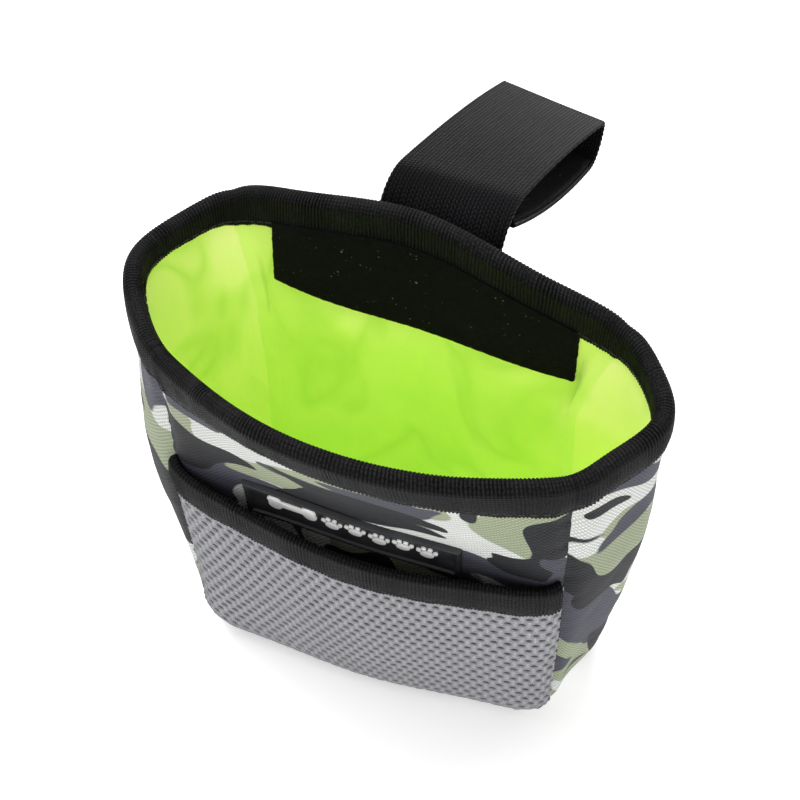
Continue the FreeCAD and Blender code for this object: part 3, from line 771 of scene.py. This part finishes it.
def bridged(points):
    """The lining is cut small, so it stands off the corners in a sharp upright crease."""
    tape_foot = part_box("closure_loop_tape")[0].z - 3 * MM
    tape_end = share_of((np.abs(points[..., 0]) - 49.5 * MM) / (6 * MM))
    beside_tape = np.maximum(tape_end, share_of((tape_foot - points[..., 2]) / (9 * MM)))
    high = share_of((RIM - 8 * MM - points[..., 2]) / (26 * MM)) ** 0.8
    low = share_of((points[..., 2] - 14 * MM) / (40 * MM))
    result = points.copy()
    level = share_of((RIM - points[..., 2]) / (RIM - FOOT - CORNER))
    for line, tall, wide in ((BACK_SEAM, 11 * MM, 21 * MM), (FRONT_SEAM, 3 * MM, 10 * MM)):
        left, right = line[:SEAM_ROWS], line[-SEAM_ROWS:]
        for side in (-1, 1):
            x = np.interp(-points[..., 2], -left[:, 2], left[:, 0]) * -side
            y = (np.interp(-points[..., 2], -left[:, 2], left[:, 1]) if side < 0
                 else np.interp(points[..., 2], right[:, 2], right[:, 1]))
            far = np.hypot(points[..., 0] - x, points[..., 1] - y)
            lean = wide * (1 + 0.25 * np.sin(level * 5 + side))
            amount = tall * share_of(1 - far / lean) ** 1.25 * high * low * beside_tape
            inward = unit(np.array([-side, -0.45 if line is BACK_SEAM else 0.45, 0]))
            result += inward * amount[..., None]
    return result


def soft_folds(points, keep_flat):
    """How far the loose lining stands off its wall, none under the ribbon and at flat places."""
    top = share_of((RIM - 13 * MM - points[..., 2]) / (30 * MM))
    low = share_of((points[..., 2] - 6 * MM) / (20 * MM))
    tall = points * (1, 1, 0.45)
    size = ((0.8 + waves(tall, 40 * MM, 11)) * 1.5 * MM
            + (0.6 + waves(tall, 17 * MM, 12)) * 0.6 * MM)
    return np.maximum(size, 0) * top * low * keep_flat


def behind_tape(points):
    """0 where the closure tape holds the back's lining flat, 1 elsewhere."""
    tape_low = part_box("closure_loop_tape")[0].z
    return 1 - (share_of((points[..., 2] - (tape_low - 8 * MM)) / (8 * MM))
                * (np.abs(points[..., 0]) < 53 * MM))


def canvas_ease(points):
    """Slight waviness of the outer cloth, none under the ribbon."""
    size = 0.32 * MM * waves(points, 34 * MM, 3) + 0.16 * MM * waves(points, 15 * MM, 4)
    free = share_of((RIM - 14 * MM - points[..., 2]) / (10 * MM))
    return np.maximum(size, -0.2 * MM) * 0.8 * free


def wall_pieces(name, grid, canvas, lining_cloth, hold):
    """Fabric, foam and lining of one wall; grid gives points and normals for an inset.

    Each layer has its inset and the depths of its outer and inner face, in millimetres.
    """
    layers = [("canvas", "panel", 0.0, 0.0, 0.85, canvas, "camo_canvas"),
              ("foam_pad", "foam", 1.2, 1.15, 2.95, FOAM, "foam"),
              ("lining_cloth", "lining", 3.6, 3.45, 3.8, lining_cloth, "lining")]
    made = []
    for part, node, inset, near, far, material, slot in layers:
        points, normals = grid(inset * MM)
        lift = np.zeros(points.shape[:2])
        if part == "canvas":
            lift = canvas_ease(points)
        elif part == "lining_cloth":
            lift = -soft_folds(points, behind_tape(points) if name == "back" else 1.0)
        base = points + normals * lift[..., None]
        faces = [sewn(base - normals * depth * MM) for depth in (near, far)]
        if part == "lining_cloth":
            faces = [bridged(face) for face in faces]
        piece = slab(f"{name}_{part}", *faces, cloth_uv(points))
        whole = name == "gusset" and node == "panel"
        made.append(dress(piece, material, (name if whole else f"{name}_{node}",), hold))
    return made


front_wall_pieces, back_wall_pieces = (
    wall_pieces(side, lambda inset, side=side: panel(side, inset), canvas, LINING, HOLD[side])
    for side, canvas in (("front", CAMO_FRONT), ("back", CAMO_BACK)))
strip_pieces = wall_pieces("gusset", strip, CAMO_SIDE, LINING_SIDE_LIT, across_sides)


# ---- ribbon folded over an edge
def outer_leg_share(t):
    """Length of the ribbon's outer leg at t, as a share of its length at the back."""
    front = from_front(t) / LENGTH_FRONT
    return (1 + 0.16 * np.exp(-((front + 0.35) / 0.55) ** 2)
            + 0.10 * np.exp(-((front - 0.35) / 0.4) ** 2)
            - 0.24 * np.exp(-((front - 1.25) / 0.3) ** 2))


def inner_leg_share(t):
    """The same for the inner leg, which the full lining of the sides partly covers."""
    from_side = np.abs(np.abs(from_front(t)) - LENGTH_FRONT - LENGTH_SIDE)
    return 0.58 + 0.36 * share_of((from_side - 18 * MM) / (24 * MM)) ** 1.5


def fold_profile(wall, leg_out, leg_in, thick=RIBBON_THICK, puff=0.35 * MM):
    """Middle line of folded ribbon: pairs of distance out from the wall's face and height."""
    clear = thick / 2 + 0.07 * MM
    middle, radius = -wall / 2, wall / 2 + clear
    outer_leg = [(clear + puff * math.sin(math.pi * k / 9)
                  - 0.22 * MM * math.exp(-((k - 1.6) / 0.7) ** 2),
                  -leg_out + (leg_out - radius * 0.5) * k / 9) for k in range(10)]
    arc = [(middle + radius * math.cos(a), -radius * 0.5 + radius * 1.12 * math.sin(a))
           for a in np.linspace(0, math.pi, 13)[1:-1]]
    inner_leg = [(-wall - clear, -radius * 0.5 - (leg_in - radius * 0.5) * k / 7) for k in range(8)]
    return np.array(outer_leg + arc + inner_leg)


def ribbon_mesh(name, surface, normal, top, span, profile, uneven_legs=False, thick=RIBBON_THICK):
    """Ribbon along t in span, folded over the edge that top(t) gives."""
    coarse = np.linspace(*span, 400)
    run = run_of(surface(coarse, top(coarse)))
    count = int(run[-1] / (RIB / 5)) + 1
    distance = np.linspace(0, run[-1], count)
    t = np.interp(distance, run, coarse)
    pitch = (distance / RIB * math.pi + 0.5 * np.sin(distance / (6.1 * MM))
             + 0.4 * np.sin(distance / (2.3 * MM)))
    rib = -RIB_TALL * (1 - np.abs(np.sin(pitch))) * (0.85 + 0.25 * np.sin(distance / (3.7 * MM)))
    out, height = profile[:, 0], profile[:, 1]
    slope = unit(np.gradient(profile, axis=0))
    side = np.stack([slope[:, 1], -slope[:, 0]], -1)
    inside = np.array([out.mean(), height.min()])
    side = np.where((side * (profile - inside)).sum(1, keepdims=True) < 0, -side, side)
    uneven = (0.22 * MM * np.sin(distance / (13.7 * MM) * 2 * math.pi)
              + 0.13 * MM * np.sin(distance / (5.1 * MM) * 2 * math.pi) + rib * 0.5)
    sides = []
    for sign in (1, -1):
        o, h = (middle[None, :] + sign * side[None, :, k] * thick / 2
                + rib[:, None] * side[None, :, k] * (sign > 0)
                for k, middle in enumerate((out, height)))
        low = share_of(-height / np.abs(height).max())[None, :]
        h = h - uneven[:, None] * low
        tt = np.broadcast_to(t[:, None], o.shape)
        if uneven_legs:
            leg_share = np.where(o > -WALL / 2, outer_leg_share(tt), inner_leg_share(tt))
            h = h * np.where(h > 0, 1, leg_share)
        z = top(tt) + np.minimum(h, 0)
        raised = np.maximum(h, 0)
        points = surface(tt, z) + normal(tt, z) * o[..., None]
        points[..., 2] += raised
        sides.append(points)
    length = run_of(profile)
    uv = np.stack(np.broadcast_arrays(distance[:, None], length[None, :]), -1)
    return slab(name, sewn(sides[0]), sewn(sides[1]), uv, sharp=70)


rim_profile = fold_profile(WALL, 12.4 * MM, 12 * MM)
rims = {"front": (-LENGTH_FRONT, LENGTH_FRONT),
        "right": (LENGTH_FRONT, LENGTH_FRONT + 2 * LENGTH_SIDE),
        "back": (BACK_MIDDLE - LENGTH_BACK, BACK_MIDDLE + LENGTH_BACK),
        "left": (-LENGTH_FRONT - 2 * LENGTH_SIDE, -LENGTH_FRONT)}
for side, span in rims.items():
    piece = ribbon_mesh(f"rim_ribbon_{side}", form, form_normal, top_of, span, rim_profile, True)
    dress(piece, RIBBON, (f"rim_binding_{side}",), HOLD[side])


# ---- stitches
def capsules(name, centres, along, out, long, thick):
    """Short rounded stitches, one at each centre."""
    rings, spokes = 5, 6
    turn = np.linspace(0, 2 * math.pi, spokes, endpoint=False)
    parts = []
    for k in range(rings):
        a = -math.pi / 2 + math.pi * (k + 0.5) / rings
        r, x = math.cos(a) ** 0.6 * thick / 2, math.sin(a) * long / 2
        parts.append(np.stack([np.full(spokes, x), r * np.cos(turn), r * np.sin(turn)], -1))
    body = np.concatenate(parts)
    body = np.concatenate([body, [[-long / 2, 0, 0], [long / 2, 0, 0]]])
    faces = [[k * spokes + j, k * spokes + (j + 1) % spokes, (k + 1) * spokes + (j + 1) % spokes,
              (k + 1) * spokes + j] for k in range(rings - 1) for j in range(spokes)]
    first, last = len(body) - 2, len(body) - 1
    faces += [[first, (j + 1) % spokes, j] for j in range(spokes)]
    top = (rings - 1) * spokes
    faces += [[last, top + j, top + (j + 1) % spokes] for j in range(spokes)]
    x = unit(along)
    z = unit(out - (out * x).sum(-1, keepdims=True) * x)
    y = np.cross(z, x)
    verts = (centres[:, None] + body[None, :, :1] * x[:, None] + body[None, :, 1:2] * y[:, None]
             + body[None, :, 2:] * z[:, None])
    every = [[v + i * len(body) for v in f] for i in range(len(centres)) for f in faces]
    return link(name, verts, every)


def rim_stitches(name, surface, normal, top, span, height, out, step=3.4 * MM):
    """Row of stitches at a height below an edge, out from the surface."""
    coarse = np.linspace(*span, 300)
    line = surface(coarse, top(coarse) + height)
    run = run_of(line)
    distance = np.arange(step / 2, run[-1] - step / 3, step)
    t = np.interp(distance, run, coarse)
    if top is top_of:
        height = height * (outer_leg_share(t) if out > 0 else inner_leg_share(t))
    z = top(t) + height
    centres = sewn(surface(t, z) + normal(t, z) * out)
    ahead = sewn(surface(t + 0.5 * MM, top(t + 0.5 * MM) + height) + normal(t, z) * out)
    return capsules(name, centres, ahead - centres, normal(t, z), 2.5 * MM, 0.42 * MM)


for side in ("front", "back", "right", "left"):
    for face, out in (("out", 0.78 * MM), ("in", -WALL - 0.86 * MM)):
        row = rim_stitches(f"rim_stitches_{side}_{face}", form, form_normal, top_of, rims[side],
                           -10.1 * MM, out)
        dress(row, THREAD, hold=HOLD[side])


# ---- mesh pocket
def pocket_surface(t, z):
    """Outer face of the mesh at t along the front: on the panel at the seams, off it between."""
    u = np.clip(t / np.maximum(front_t(1.0, z), 1e-6), -1, 1)
    gap = np.interp(z, Z_GRID, POCKET_GAP)
    gap = 1.7 * MM + (gap - 1.7 * MM) * (1 - u ** 2)
    return form(t, z) + unit(form_normal(t, z) * (1, 1, 0)) * gap[..., None]


def pocket_normal(t, z):
    return normal_of(pocket_surface, t, z, 0.5 * MM)


def pocket_top(t):
    u = np.asarray(t) / LENGTH_FRONT
    return (POCKET_TOP - 1.0 * MM * (1 - u ** 2) + 3.5 * MM * share_of(-u) ** 2
            - 1.5 * MM * share_of(u))


def hole_cells(columns, rows):
    """Staggered knit cells over the unit square, each an oval hole in a raised ring."""
    border = np.array([(-.5, -.5), (-.25, -.5), (0, -.5), (.25, -.5), (.5, -.5), (.5, 0),
                       (.5, .5), (.25, .5), (0, .5), (-.25, .5), (-.5, .5), (-.5, 0)])
    angle = np.arctan2(border[:, 1], border[:, 0])
    circle = np.stack([np.cos(angle), np.sin(angle)], -1)
    around = len(border)
    rings = [(border, 0.0), (circle * (0.37, 0.36), 0.30 * MM), (circle * (0.30, 0.26), 0.16 * MM),
             (circle * (0.26, 0.215), -0.35 * MM), (circle * (0.24, 0.19), -1.0 * MM)]
    verts, faces, lifts = [], [], []
    for row in range(rows):
        shift = 0.5 * (row % 2)
        for column in range(-1 if row % 2 else 0, columns):
            centre = np.array([column + 0.5 + shift, row + 0.5])
            start = len(verts)
            for ring, lift in rings:
                for point in ring:
                    verts.append(centre + point)
                    lifts.append(lift)
            for level in range(len(rings) - 1):
                first = start + level * around
                for k in range(around):
                    a, b = first + k, first + (k + 1) % around
                    faces.append([a, b, b + around, a + around])
    verts = np.array(verts) / (columns, rows)
    verts[:, 0] = share_of(verts[:, 0])
    return verts, faces, np.array(lifts)


def pocket_points(share, lift):
    """Points at shares (across, up) of the pocket, lifted off its face."""
    u = share[..., 0] * 2 - 1
    top = pocket_top(u * LENGTH_FRONT) - 1.0 * MM
    z = FOOT + 0.3 * MM + share[..., 1] * (top - FOOT)
    t = front_t(u * 0.997, z)
    return pocket_surface(t, z) + pocket_normal(t, z) * lift[..., None]


cells, cell_faces, cell_lift = hole_cells(HOLES_ACROSS, HOLES_UP)
mesh_points = sewn(pocket_points(cells, cell_lift - 0.25 * MM))
mesh_uv = cells * (2 * HALF, POCKET_TOP)
pocket_mesh = link("pocket_mesh", mesh_points, cell_faces, mesh_uv, fix_normals=False)
work = bmesh.new()
work.from_mesh(pocket_mesh.data)
bmesh.ops.remove_doubles(work, verts=work.verts, dist=0.02 * MM)
bmesh.ops.dissolve_degenerate(work, edges=work.edges, dist=0.01 * MM)
bmesh.ops.recalc_face_normals(work, faces=work.faces)
if sum(f.normal.y for f in work.faces) > 0:
    bmesh.ops.reverse_faces(work, faces=work.faces)
work.to_mesh(pocket_mesh.data)
work.free()
pocket_mesh.data.polygons.foreach_set("use_smooth", [True] * len(pocket_mesh.data.polygons))
dress(pocket_mesh, MESH_KNIT, ("mesh_pocket",), "front_wall")

share = np.stack(np.meshgrid(np.linspace(0, 1, 61), np.linspace(0, 1, 51)), -1)
backing = [sewn(pocket_points(share, np.full(share.shape[:2], lift * MM)))
           for lift in (-1.45, -1.6)]
pocket_backing = slab("pocket_mesh_backing", *backing, share * (2 * HALF, POCKET_TOP))
dress(pocket_backing, MESH_BACK_SHADED, hold="front_wall")

pocket_profile = fold_profile(1.6 * MM, 13.3 * MM, 9.5 * MM, puff=0.5 * MM)
pocket_span = (-LENGTH_FRONT * 0.985, LENGTH_FRONT * 0.985)
pocket_ribbon = ribbon_mesh("pocket_ribbon", pocket_surface, pocket_normal, pocket_top, pocket_span,
                            pocket_profile)
dress(pocket_ribbon, RIBBON, ("pocket_binding",), "front_wall")
pocket_row = rim_stitches("pocket_stitches", pocket_surface, pocket_normal, pocket_top, pocket_span,
                          -11.2 * MM, 0.8 * MM)
dress(pocket_row, THREAD, hold="front_wall")


# ---- rubber label
def on_front(x, z, out):
    t = at_x(x, z)
    return sewn(form(t, z) + form_normal(t, z) * np.asarray(out)[..., None])


label_low, label_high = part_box("label_patch")
motif_low, motif_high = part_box("label_motif")


def label_grid(columns=161, rows=45):
    """Label's face with a raised frame: x, z and the distance out from the panel."""
    x = np.linspace(label_low.x, label_high.x, columns)[None, :]
    v = np.linspace(0, 1, rows)[:, None]
    arch = 1.0 * MM * (1 - ((x - x.mean()) / (x.max() - x.mean())) ** 2)
    tall = label_high.z - label_low.z - 1.0 * MM
    z = label_low.z + v * tall + arch
    dx = np.minimum(x - label_low.x, label_high.x - x)
    dz = np.minimum(v, 1 - v) * tall
    near = np.broadcast_to(np.minimum(dx, dz), z.shape)
    lip = share_of(near / (0.5 * MM)) ** 0.5
    frame_band = share_of((1.9 * MM - near) / (0.3 * MM))
    out = 0.5 * MM + 0.65 * MM * lip + 0.75 * MM * frame_band * lip
    return np.broadcast_to(x, z.shape), z, out


label_x, label_z, label_out = label_grid()
label_face = on_front(label_x, label_z, label_out)
label_rear = on_front(label_x, label_z, np.full(label_x.shape, 0.1 * MM))
label_plate = slab("label_plate", label_face, label_rear, np.stack([label_x, label_z], -1),
                   sharp=40)
dress(label_plate, RUBBER, ("label_patch",), "front_wall")


def turned_points(cx, cz, x, z, tilt):
    """Outline about a centre, turned by the tilt."""
    c, s = math.cos(tilt), math.sin(tilt)
    return np.stack([cx + x * c - z * s, cz + x * s + z * c], -1)


def circle_points(cx, cz, rx, rz, count=20, tilt=0.0):
    a = np.linspace(0, 2 * math.pi, count, endpoint=False)
    return turned_points(cx, cz, rx * np.cos(a), rz * np.sin(a), tilt)


def bone_points(cx, cz, long, tall, tilt):
    """Plain bone outline: a shaft with two knobs at either end."""
    r, h = tall * 0.3, tall * 0.17
    end = []
    for a in np.linspace(-math.pi * 0.12, math.pi * 0.98, 9)[::-1]:
        end.append((long / 2 - r * 0.9 + r * math.cos(a), h * 1.15 + r * math.sin(a)))
    right = end + [(x, -z) for x, z in reversed(end)]
    left = [(-x, -z) for x, z in right]
    return turned_points(cx, cz, *np.array(right + left).T, tilt)


def raised(outlines, name):
    """Low rounded plates of rubber with the given outlines on the label's face."""
    verts, faces = [], []
    for outline in outlines:
        count = len(outline)
        x, z = outline.T
        area = (x * np.roll(z, -1) - np.roll(x, -1) * z).sum()
        if area < 0:
            outline = outline[::-1]
        ahead = np.roll(outline, -1, 0) - np.roll(outline, 1, 0)
        inward = unit(np.stack([-ahead[:, 1], ahead[:, 0]], -1))
        start = len(verts)
        for inset, out in ((0, 1.2), (0, 1.62), (0.07, 1.76), (0.2, 1.82)):
            ring = outline + inward * inset * MM
            verts.extend(on_front(ring[:, 0], ring[:, 1], np.full(count, out * MM)))
        for level in range(3):
            first = start + level * count
            for k in range(count):
                a, b = first + k, first + (k + 1) % count
                faces.append([a, b, b + count, a + count])
        faces.append([start + 3 * count + k for k in range(count)])
        faces.append([start + k for k in reversed(range(count))])
    return link(name, np.array(verts), faces, sharp=60)


def paw(cx, cz, size):
    """A pad and four toes."""
    shapes = [circle_points(cx, cz - size * 0.22, size * 0.36, size * 0.28)]
    for dx, dz in ((-0.42, 0.08), (-0.16, 0.36), (0.16, 0.36), (0.42, 0.08)):
        shapes.append(circle_points(cx + dx * size, cz + dz * size, size * 0.125, size * 0.17, 14,
                                    -dx * 0.6))
    return shapes


motif_z = (motif_low.z + motif_high.z) / 2 - 0.3 * MM
PAWS, PAW_SIZE, PAW_PITCH = 5, 6.0 * MM, 7.2 * MM
outlines = [bone_points(motif_low.x + 7.5 * MM, motif_z + 0.4 * MM, 15 * MM, 7.4 * MM, 0.05)]
for k in range(PAWS):
    outlines += paw(motif_low.x + 20 * MM + k * PAW_PITCH, motif_z + (0.4 if k % 2 else -0.4) * MM,
                    PAW_SIZE)
label_emblem = raised(outlines, "label_emblem")
dress(label_emblem, WHITE_RUBBER, ("label_motif",), "front_wall")


# ---- closure tapes inside the mouth
def mouth_tape(name, side, node, material, ragged):
    """Tape sewn flat on the lining, with a slightly ragged cut edge."""
    low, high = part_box(node)
    columns, rows = 131, 41
    x = np.linspace(low.x, high.x, columns)[None, :]
    v = np.linspace(0, 1, rows)[:, None]
    t_mid = at_x(x, RIM, side)
    top = top_of(t_mid) - 9 * MM
    bottom = low.z + 0.15 * MM * np.sin(x / (11 * MM)) if side == "back" else top - 20 * MM
    fray = ragged * waves(np.stack(np.broadcast_arrays(x * 6, v * 0, x * 0), -1), 14 * MM, 31)
    z = bottom + fray * (1 - v) ** 6 + v * (top - bottom)
    at_ends = np.abs(np.linspace(-1, 1, columns))[None, :] ** 30
    x = np.broadcast_to(x, z.shape) + ragged * waves(np.stack([z * 6, z * 0, z * 0], -1),
                                                     13 * MM, 32) * at_ends
    t = at_x(x, z, side)
    points, normals = form(t, z), form_normal(t, z)
    ramp = np.linspace(0, 1, columns)[None, :]
    edge = np.minimum(ramp, np.linspace(1, 0, columns)[None, :]) * (high.x - low.x)
    near = np.minimum(np.broadcast_to(edge, z.shape), v * 0.02 + 0.0002)
    crown = share_of(near / (0.9 * MM)) ** 0.5
    outer = points - normals * (4.15 * MM + (0.35 * MM + 0.95 * MM * crown)[..., None])
    inner = points - normals * 4.0 * MM
    uv = np.stack([x, z], -1)
    return dress(slab(name, sewn(outer), sewn(inner), uv), material, (node,), HOLD[side])


mouth_loop = mouth_tape("mouth_loop_tape", "back", "closure_loop_tape", LOOP_TAPE,
                        0.09 * MM)
mouth_hook = mouth_tape("mouth_hook_tape", "front", "closure_hook_tape", HOOK_TAPE,
                        0.08 * MM)

# ---- belt strap of webbing
swing = next(j for j in frame["joints"] if j["name"] == "strap_swing")
ROOT = np.array(swing["pos_m"], float)
WIDE = unit(np.array(swing["axis"], float))
AHEAD = np.array([-WIDE[1], WIDE[0], 0.0])
UP = np.array([0.0, 0.0, 1.0])
STRAP_HALF, STRAP_THICK = 19 * MM, 1.4 * MM
TAPE_HALF, TAPE_THICK = 18 * MM, 1.5 * MM
EDGE_BITE = 0.12 * MM


def centre_line(node, start, heading, step=0.4 * MM):
    """Follows a strap solid's middle line through its own mesh, from start, to its far end."""
    tree = surface_of(node)
    place, heading = np.array(start, float), unit(np.array(heading, float))
    line = []
    for _ in range(900):
        side = np.cross(WIDE, heading)
        near, far = (tree.ray_cast(Vector(place), Vector(side * s), 0.004)[3] for s in (1, -1))
        if near is None or far is None:
            break
        place = place + side * (near - far) / 2
        if line:
            heading = unit(heading * 0.5 + unit(place - line[-1]) * 0.5)
        line.append(place)
        ahead = tree.ray_cast(Vector(place), Vector(heading), 0.01)[3]
        if ahead is not None and ahead < step:
            break
        place = place + heading * step
    return np.array(line), heading


upper_line, upper_heading = centre_line("strap_upper", ROOT + UP * 0.3 * MM, UP)
lower_start = upper_line[-1] + upper_heading * 1.0 * MM
lower_line, _ = centre_line("strap_lower", lower_start, upper_heading, 0.25 * MM)


def evenly(line, step):
    """Points at even steps along a line, and their distances from its start."""
    run = run_of(line)
    distance = np.linspace(0, run[-1], max(int(run[-1] / step), 4))
    return np.stack([np.interp(distance, run, line[:, k]) for k in range(3)], -1), distance


def eased(line, times=60):
    """Line with its kinks softened and its ends kept."""
    for _ in range(times):
        inner = (line[:-2] + 2 * line[1:-1] + line[2:]) / 4
        line = np.concatenate([line[:1], inner, line[-1:]])
    return line


def twisted(points):
    """The strap leans a little to its right towards the far end, and that side is pulled in."""
    local = points - ROOT
    reach = share_of(local @ AHEAD / (109 * MM)) ** 1.5
    width = local @ WIDE
    return (points - UP * (width * 0.09 * reach)[..., None]
            - AHEAD * (width * 0.055 * reach)[..., None]
            - WIDE * (1.2 * MM * reach)[..., None])


def band(name, line, half, thick, step=0.5 * MM, rows=36, edge_bite=0.0, cut=0.0):
    """Flat strap along a line, with lengthwise rows and a toothed edge."""
    line, distance = evenly(line, step)
    line = eased(line)
    heading = unit(np.gradient(line, axis=0))
    out = unit(np.cross(WIDE, heading))
    wide_share = np.linspace(-1, 1, rows * 4 + 1)
    tooth = (edge_bite * np.sin(distance / (0.92 * MM) * math.pi)[:, None]
             * np.abs(wide_share)[None, :] ** 60)
    width = wide_share[None, :] * half + np.sign(wide_share)[None, :] * tooth
    ridge = 0.07 * MM * (np.abs(np.sin(wide_share * half / WEBBING_ROW * math.pi)) - 0.6)
    thin = np.clip((1 - np.abs(wide_share)) * half / (0.5 * MM), 0.25, 1) ** 0.5
    wave = 0.25 * MM * np.sin(distance / (31 * MM))[:, None] * wide_share[None, :]
    rough = np.stack([wide_share * half * 5, wide_share * 0, wide_share * 0], -1)
    fray = cut * waves(rough, 12 * MM, 41)
    tail = share_of((distance - distance[-1] + 2 * MM) / (2 * MM))[:, None] * fray[None, :]
    sides = []
    for sign in (1, -1):
        height = sign * (thick / 2 * thin + ridge)[None, :] + wave
        sides.append(twisted(line[:, None] + WIDE * width[..., None]
                             + out[:, None] * height[..., None]
                             + heading[:, None] * tail[..., None]))
    uv = np.stack(np.broadcast_arrays(wide_share[None, :] * half, distance[:, None]), -1)
    return slab(name, *sides, uv)


anchor_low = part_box("strap_anchor")[0].z
anchor_line = np.stack([ROOT + UP * (z - ROOT[2])
                        for z in np.arange(anchor_low, ROOT[2] - 0.2 * MM, 0.5 * MM)])
webbing_upper = band("belt_webbing_upper", np.concatenate([anchor_line, upper_line]), STRAP_HALF,
                     STRAP_THICK, edge_bite=EDGE_BITE)
dress(webbing_upper, WEBBING, ("strap_anchor", "strap_upper"))
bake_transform(webbing_upper)


def box_stitches(step=2.6 * MM):
    """The anchor is sewn down along a rectangle and its diagonals."""
    half, low, high = 16 * MM, anchor_low + 3 * MM, RIM - 4 * MM
    corners = [(-half, low), (half, low), (half, high), (-half, high), (-half, low), (half, high),
               (half, low), (-half, high)]
    centres, ahead = [], []
    for a, b in zip(np.array(corners[:-1]), np.array(corners[1:])):
        long = np.linalg.norm(b - a)
        for share in (np.arange(int(long / step)) + 0.5) * step / long:
            w, z = a + (b - a) * share
            centres.append(ROOT + WIDE * w + UP * (z - ROOT[2]) + AHEAD * 0.72 * MM)
            ahead.append((WIDE * (b - a)[0] + UP * (b - a)[1]) / long)
    centres, ahead = np.array(centres), np.array(ahead)
    return capsules("belt_box_stitches", centres, ahead, np.broadcast_to(AHEAD, centres.shape),
                    1.9 * MM, 0.5 * MM)


dress(box_stitches(), THREAD, hold="pouch_body")

webbing_lower = band("belt_webbing_lower", np.concatenate([[upper_line[-1]], lower_line]),
                     STRAP_HALF, STRAP_THICK, step=0.4 * MM, edge_bite=EDGE_BITE)
dress(webbing_lower, WEBBING, ("strap_lower",))
inner_way = np.cross(WIDE, upper_heading)
if inner_way[2] > 0:
    inner_way = -inner_way
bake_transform(webbing_lower)


def strap_tape(name, node, material, body, ragged):
    """Tape on a strap, along the CAD tape's own middle line."""
    tree = surface_of(node)
    mesh = frame["nodes"][node].data
    along = (np.array([v.co for v in mesh.vertices]) - ROOT) @ AHEAD
    line = []
    for a in np.linspace(along.min() + 0.4 * MM, along.max() - 0.4 * MM, 90):
        origin = ROOT + AHEAD * a
        down = tree.ray_cast(Vector(origin + UP * 0.1), Vector(-UP))[0]
        up = tree.ray_cast(Vector(origin - UP * 0.15), Vector(UP))[0]
        if down is not None and up is not None:
            line.append((np.array(down) + np.array(up)) / 2)
    piece = band(name, np.array(line), TAPE_HALF, TAPE_THICK, rows=24, cut=ragged)
    return dress(piece, material, (node,), body)


belt_hook = strap_tape("belt_hook_tape", "strap_hook_tape", HOOK_TAPE, "strap_loop",
                       0.1 * MM)
belt_loop = strap_tape("belt_loop_tape", "strap_loop_tape", LOOP_TAPE, "strap_tongue",
                       0.35 * MM)

# ---- floor and light
FLOOR_HALF, FLOOR_LOW = 3, -0.6 * MM
floor_mesh = bpy.data.meshes.new("floor")
floor_mesh.from_pydata([(x * FLOOR_HALF, y * FLOOR_HALF, FLOOR_LOW)
                        for x, y in ((-1, -1), (1, -1), (1, 1), (-1, 1))], [], [(0, 1, 2, 3)])
floor = bpy.data.objects.new("floor", floor_mesh)
bpy.context.scene.collection.objects.link(floor)
floor_shade = Shade("floor", Specular_IOR_Level=0.2, Emission_Strength=0.3,
                    Emission_Color=(1, 1, 1, 1))
cloud = floor_shade.noise(3, 2)
floor_mesh.materials.append(floor_shade.finish(
    floor_shade.mix(cloud, (0.90, 0.90, 0.90, 1), (0.93, 0.93, 0.93, 1)),
    floor_shade.span(cloud, 0, 1, 0.6, 0.7)))


AIM = (0, 0, 0.08)


def softbox(name, place, size, power):
    data = bpy.data.lights.new(name, "AREA")
    data.shape, data.size, data.energy = "SQUARE", size, power
    lamp = bpy.data.objects.new(name, data)
    bpy.context.scene.collection.objects.link(lamp)
    lamp.location = place
    lamp.rotation_mode = "QUATERNION"
    lamp.rotation_quaternion = (Vector(AIM) - Vector(place)).to_track_quat("-Z", "Y")


softbox("key", (-0.3, 0.45, 1.3), 1.3, 28)
softbox("fill", (0.5, -1.1, 0.9), 0.9, 8)
world = bpy.data.worlds.new("studio")
world.use_nodes = True
sky = world.node_tree.nodes["Background"].inputs
sky["Color"].default_value, sky["Strength"].default_value = (1, 1, 1, 1), 0.5
bpy.context.scene.world = world
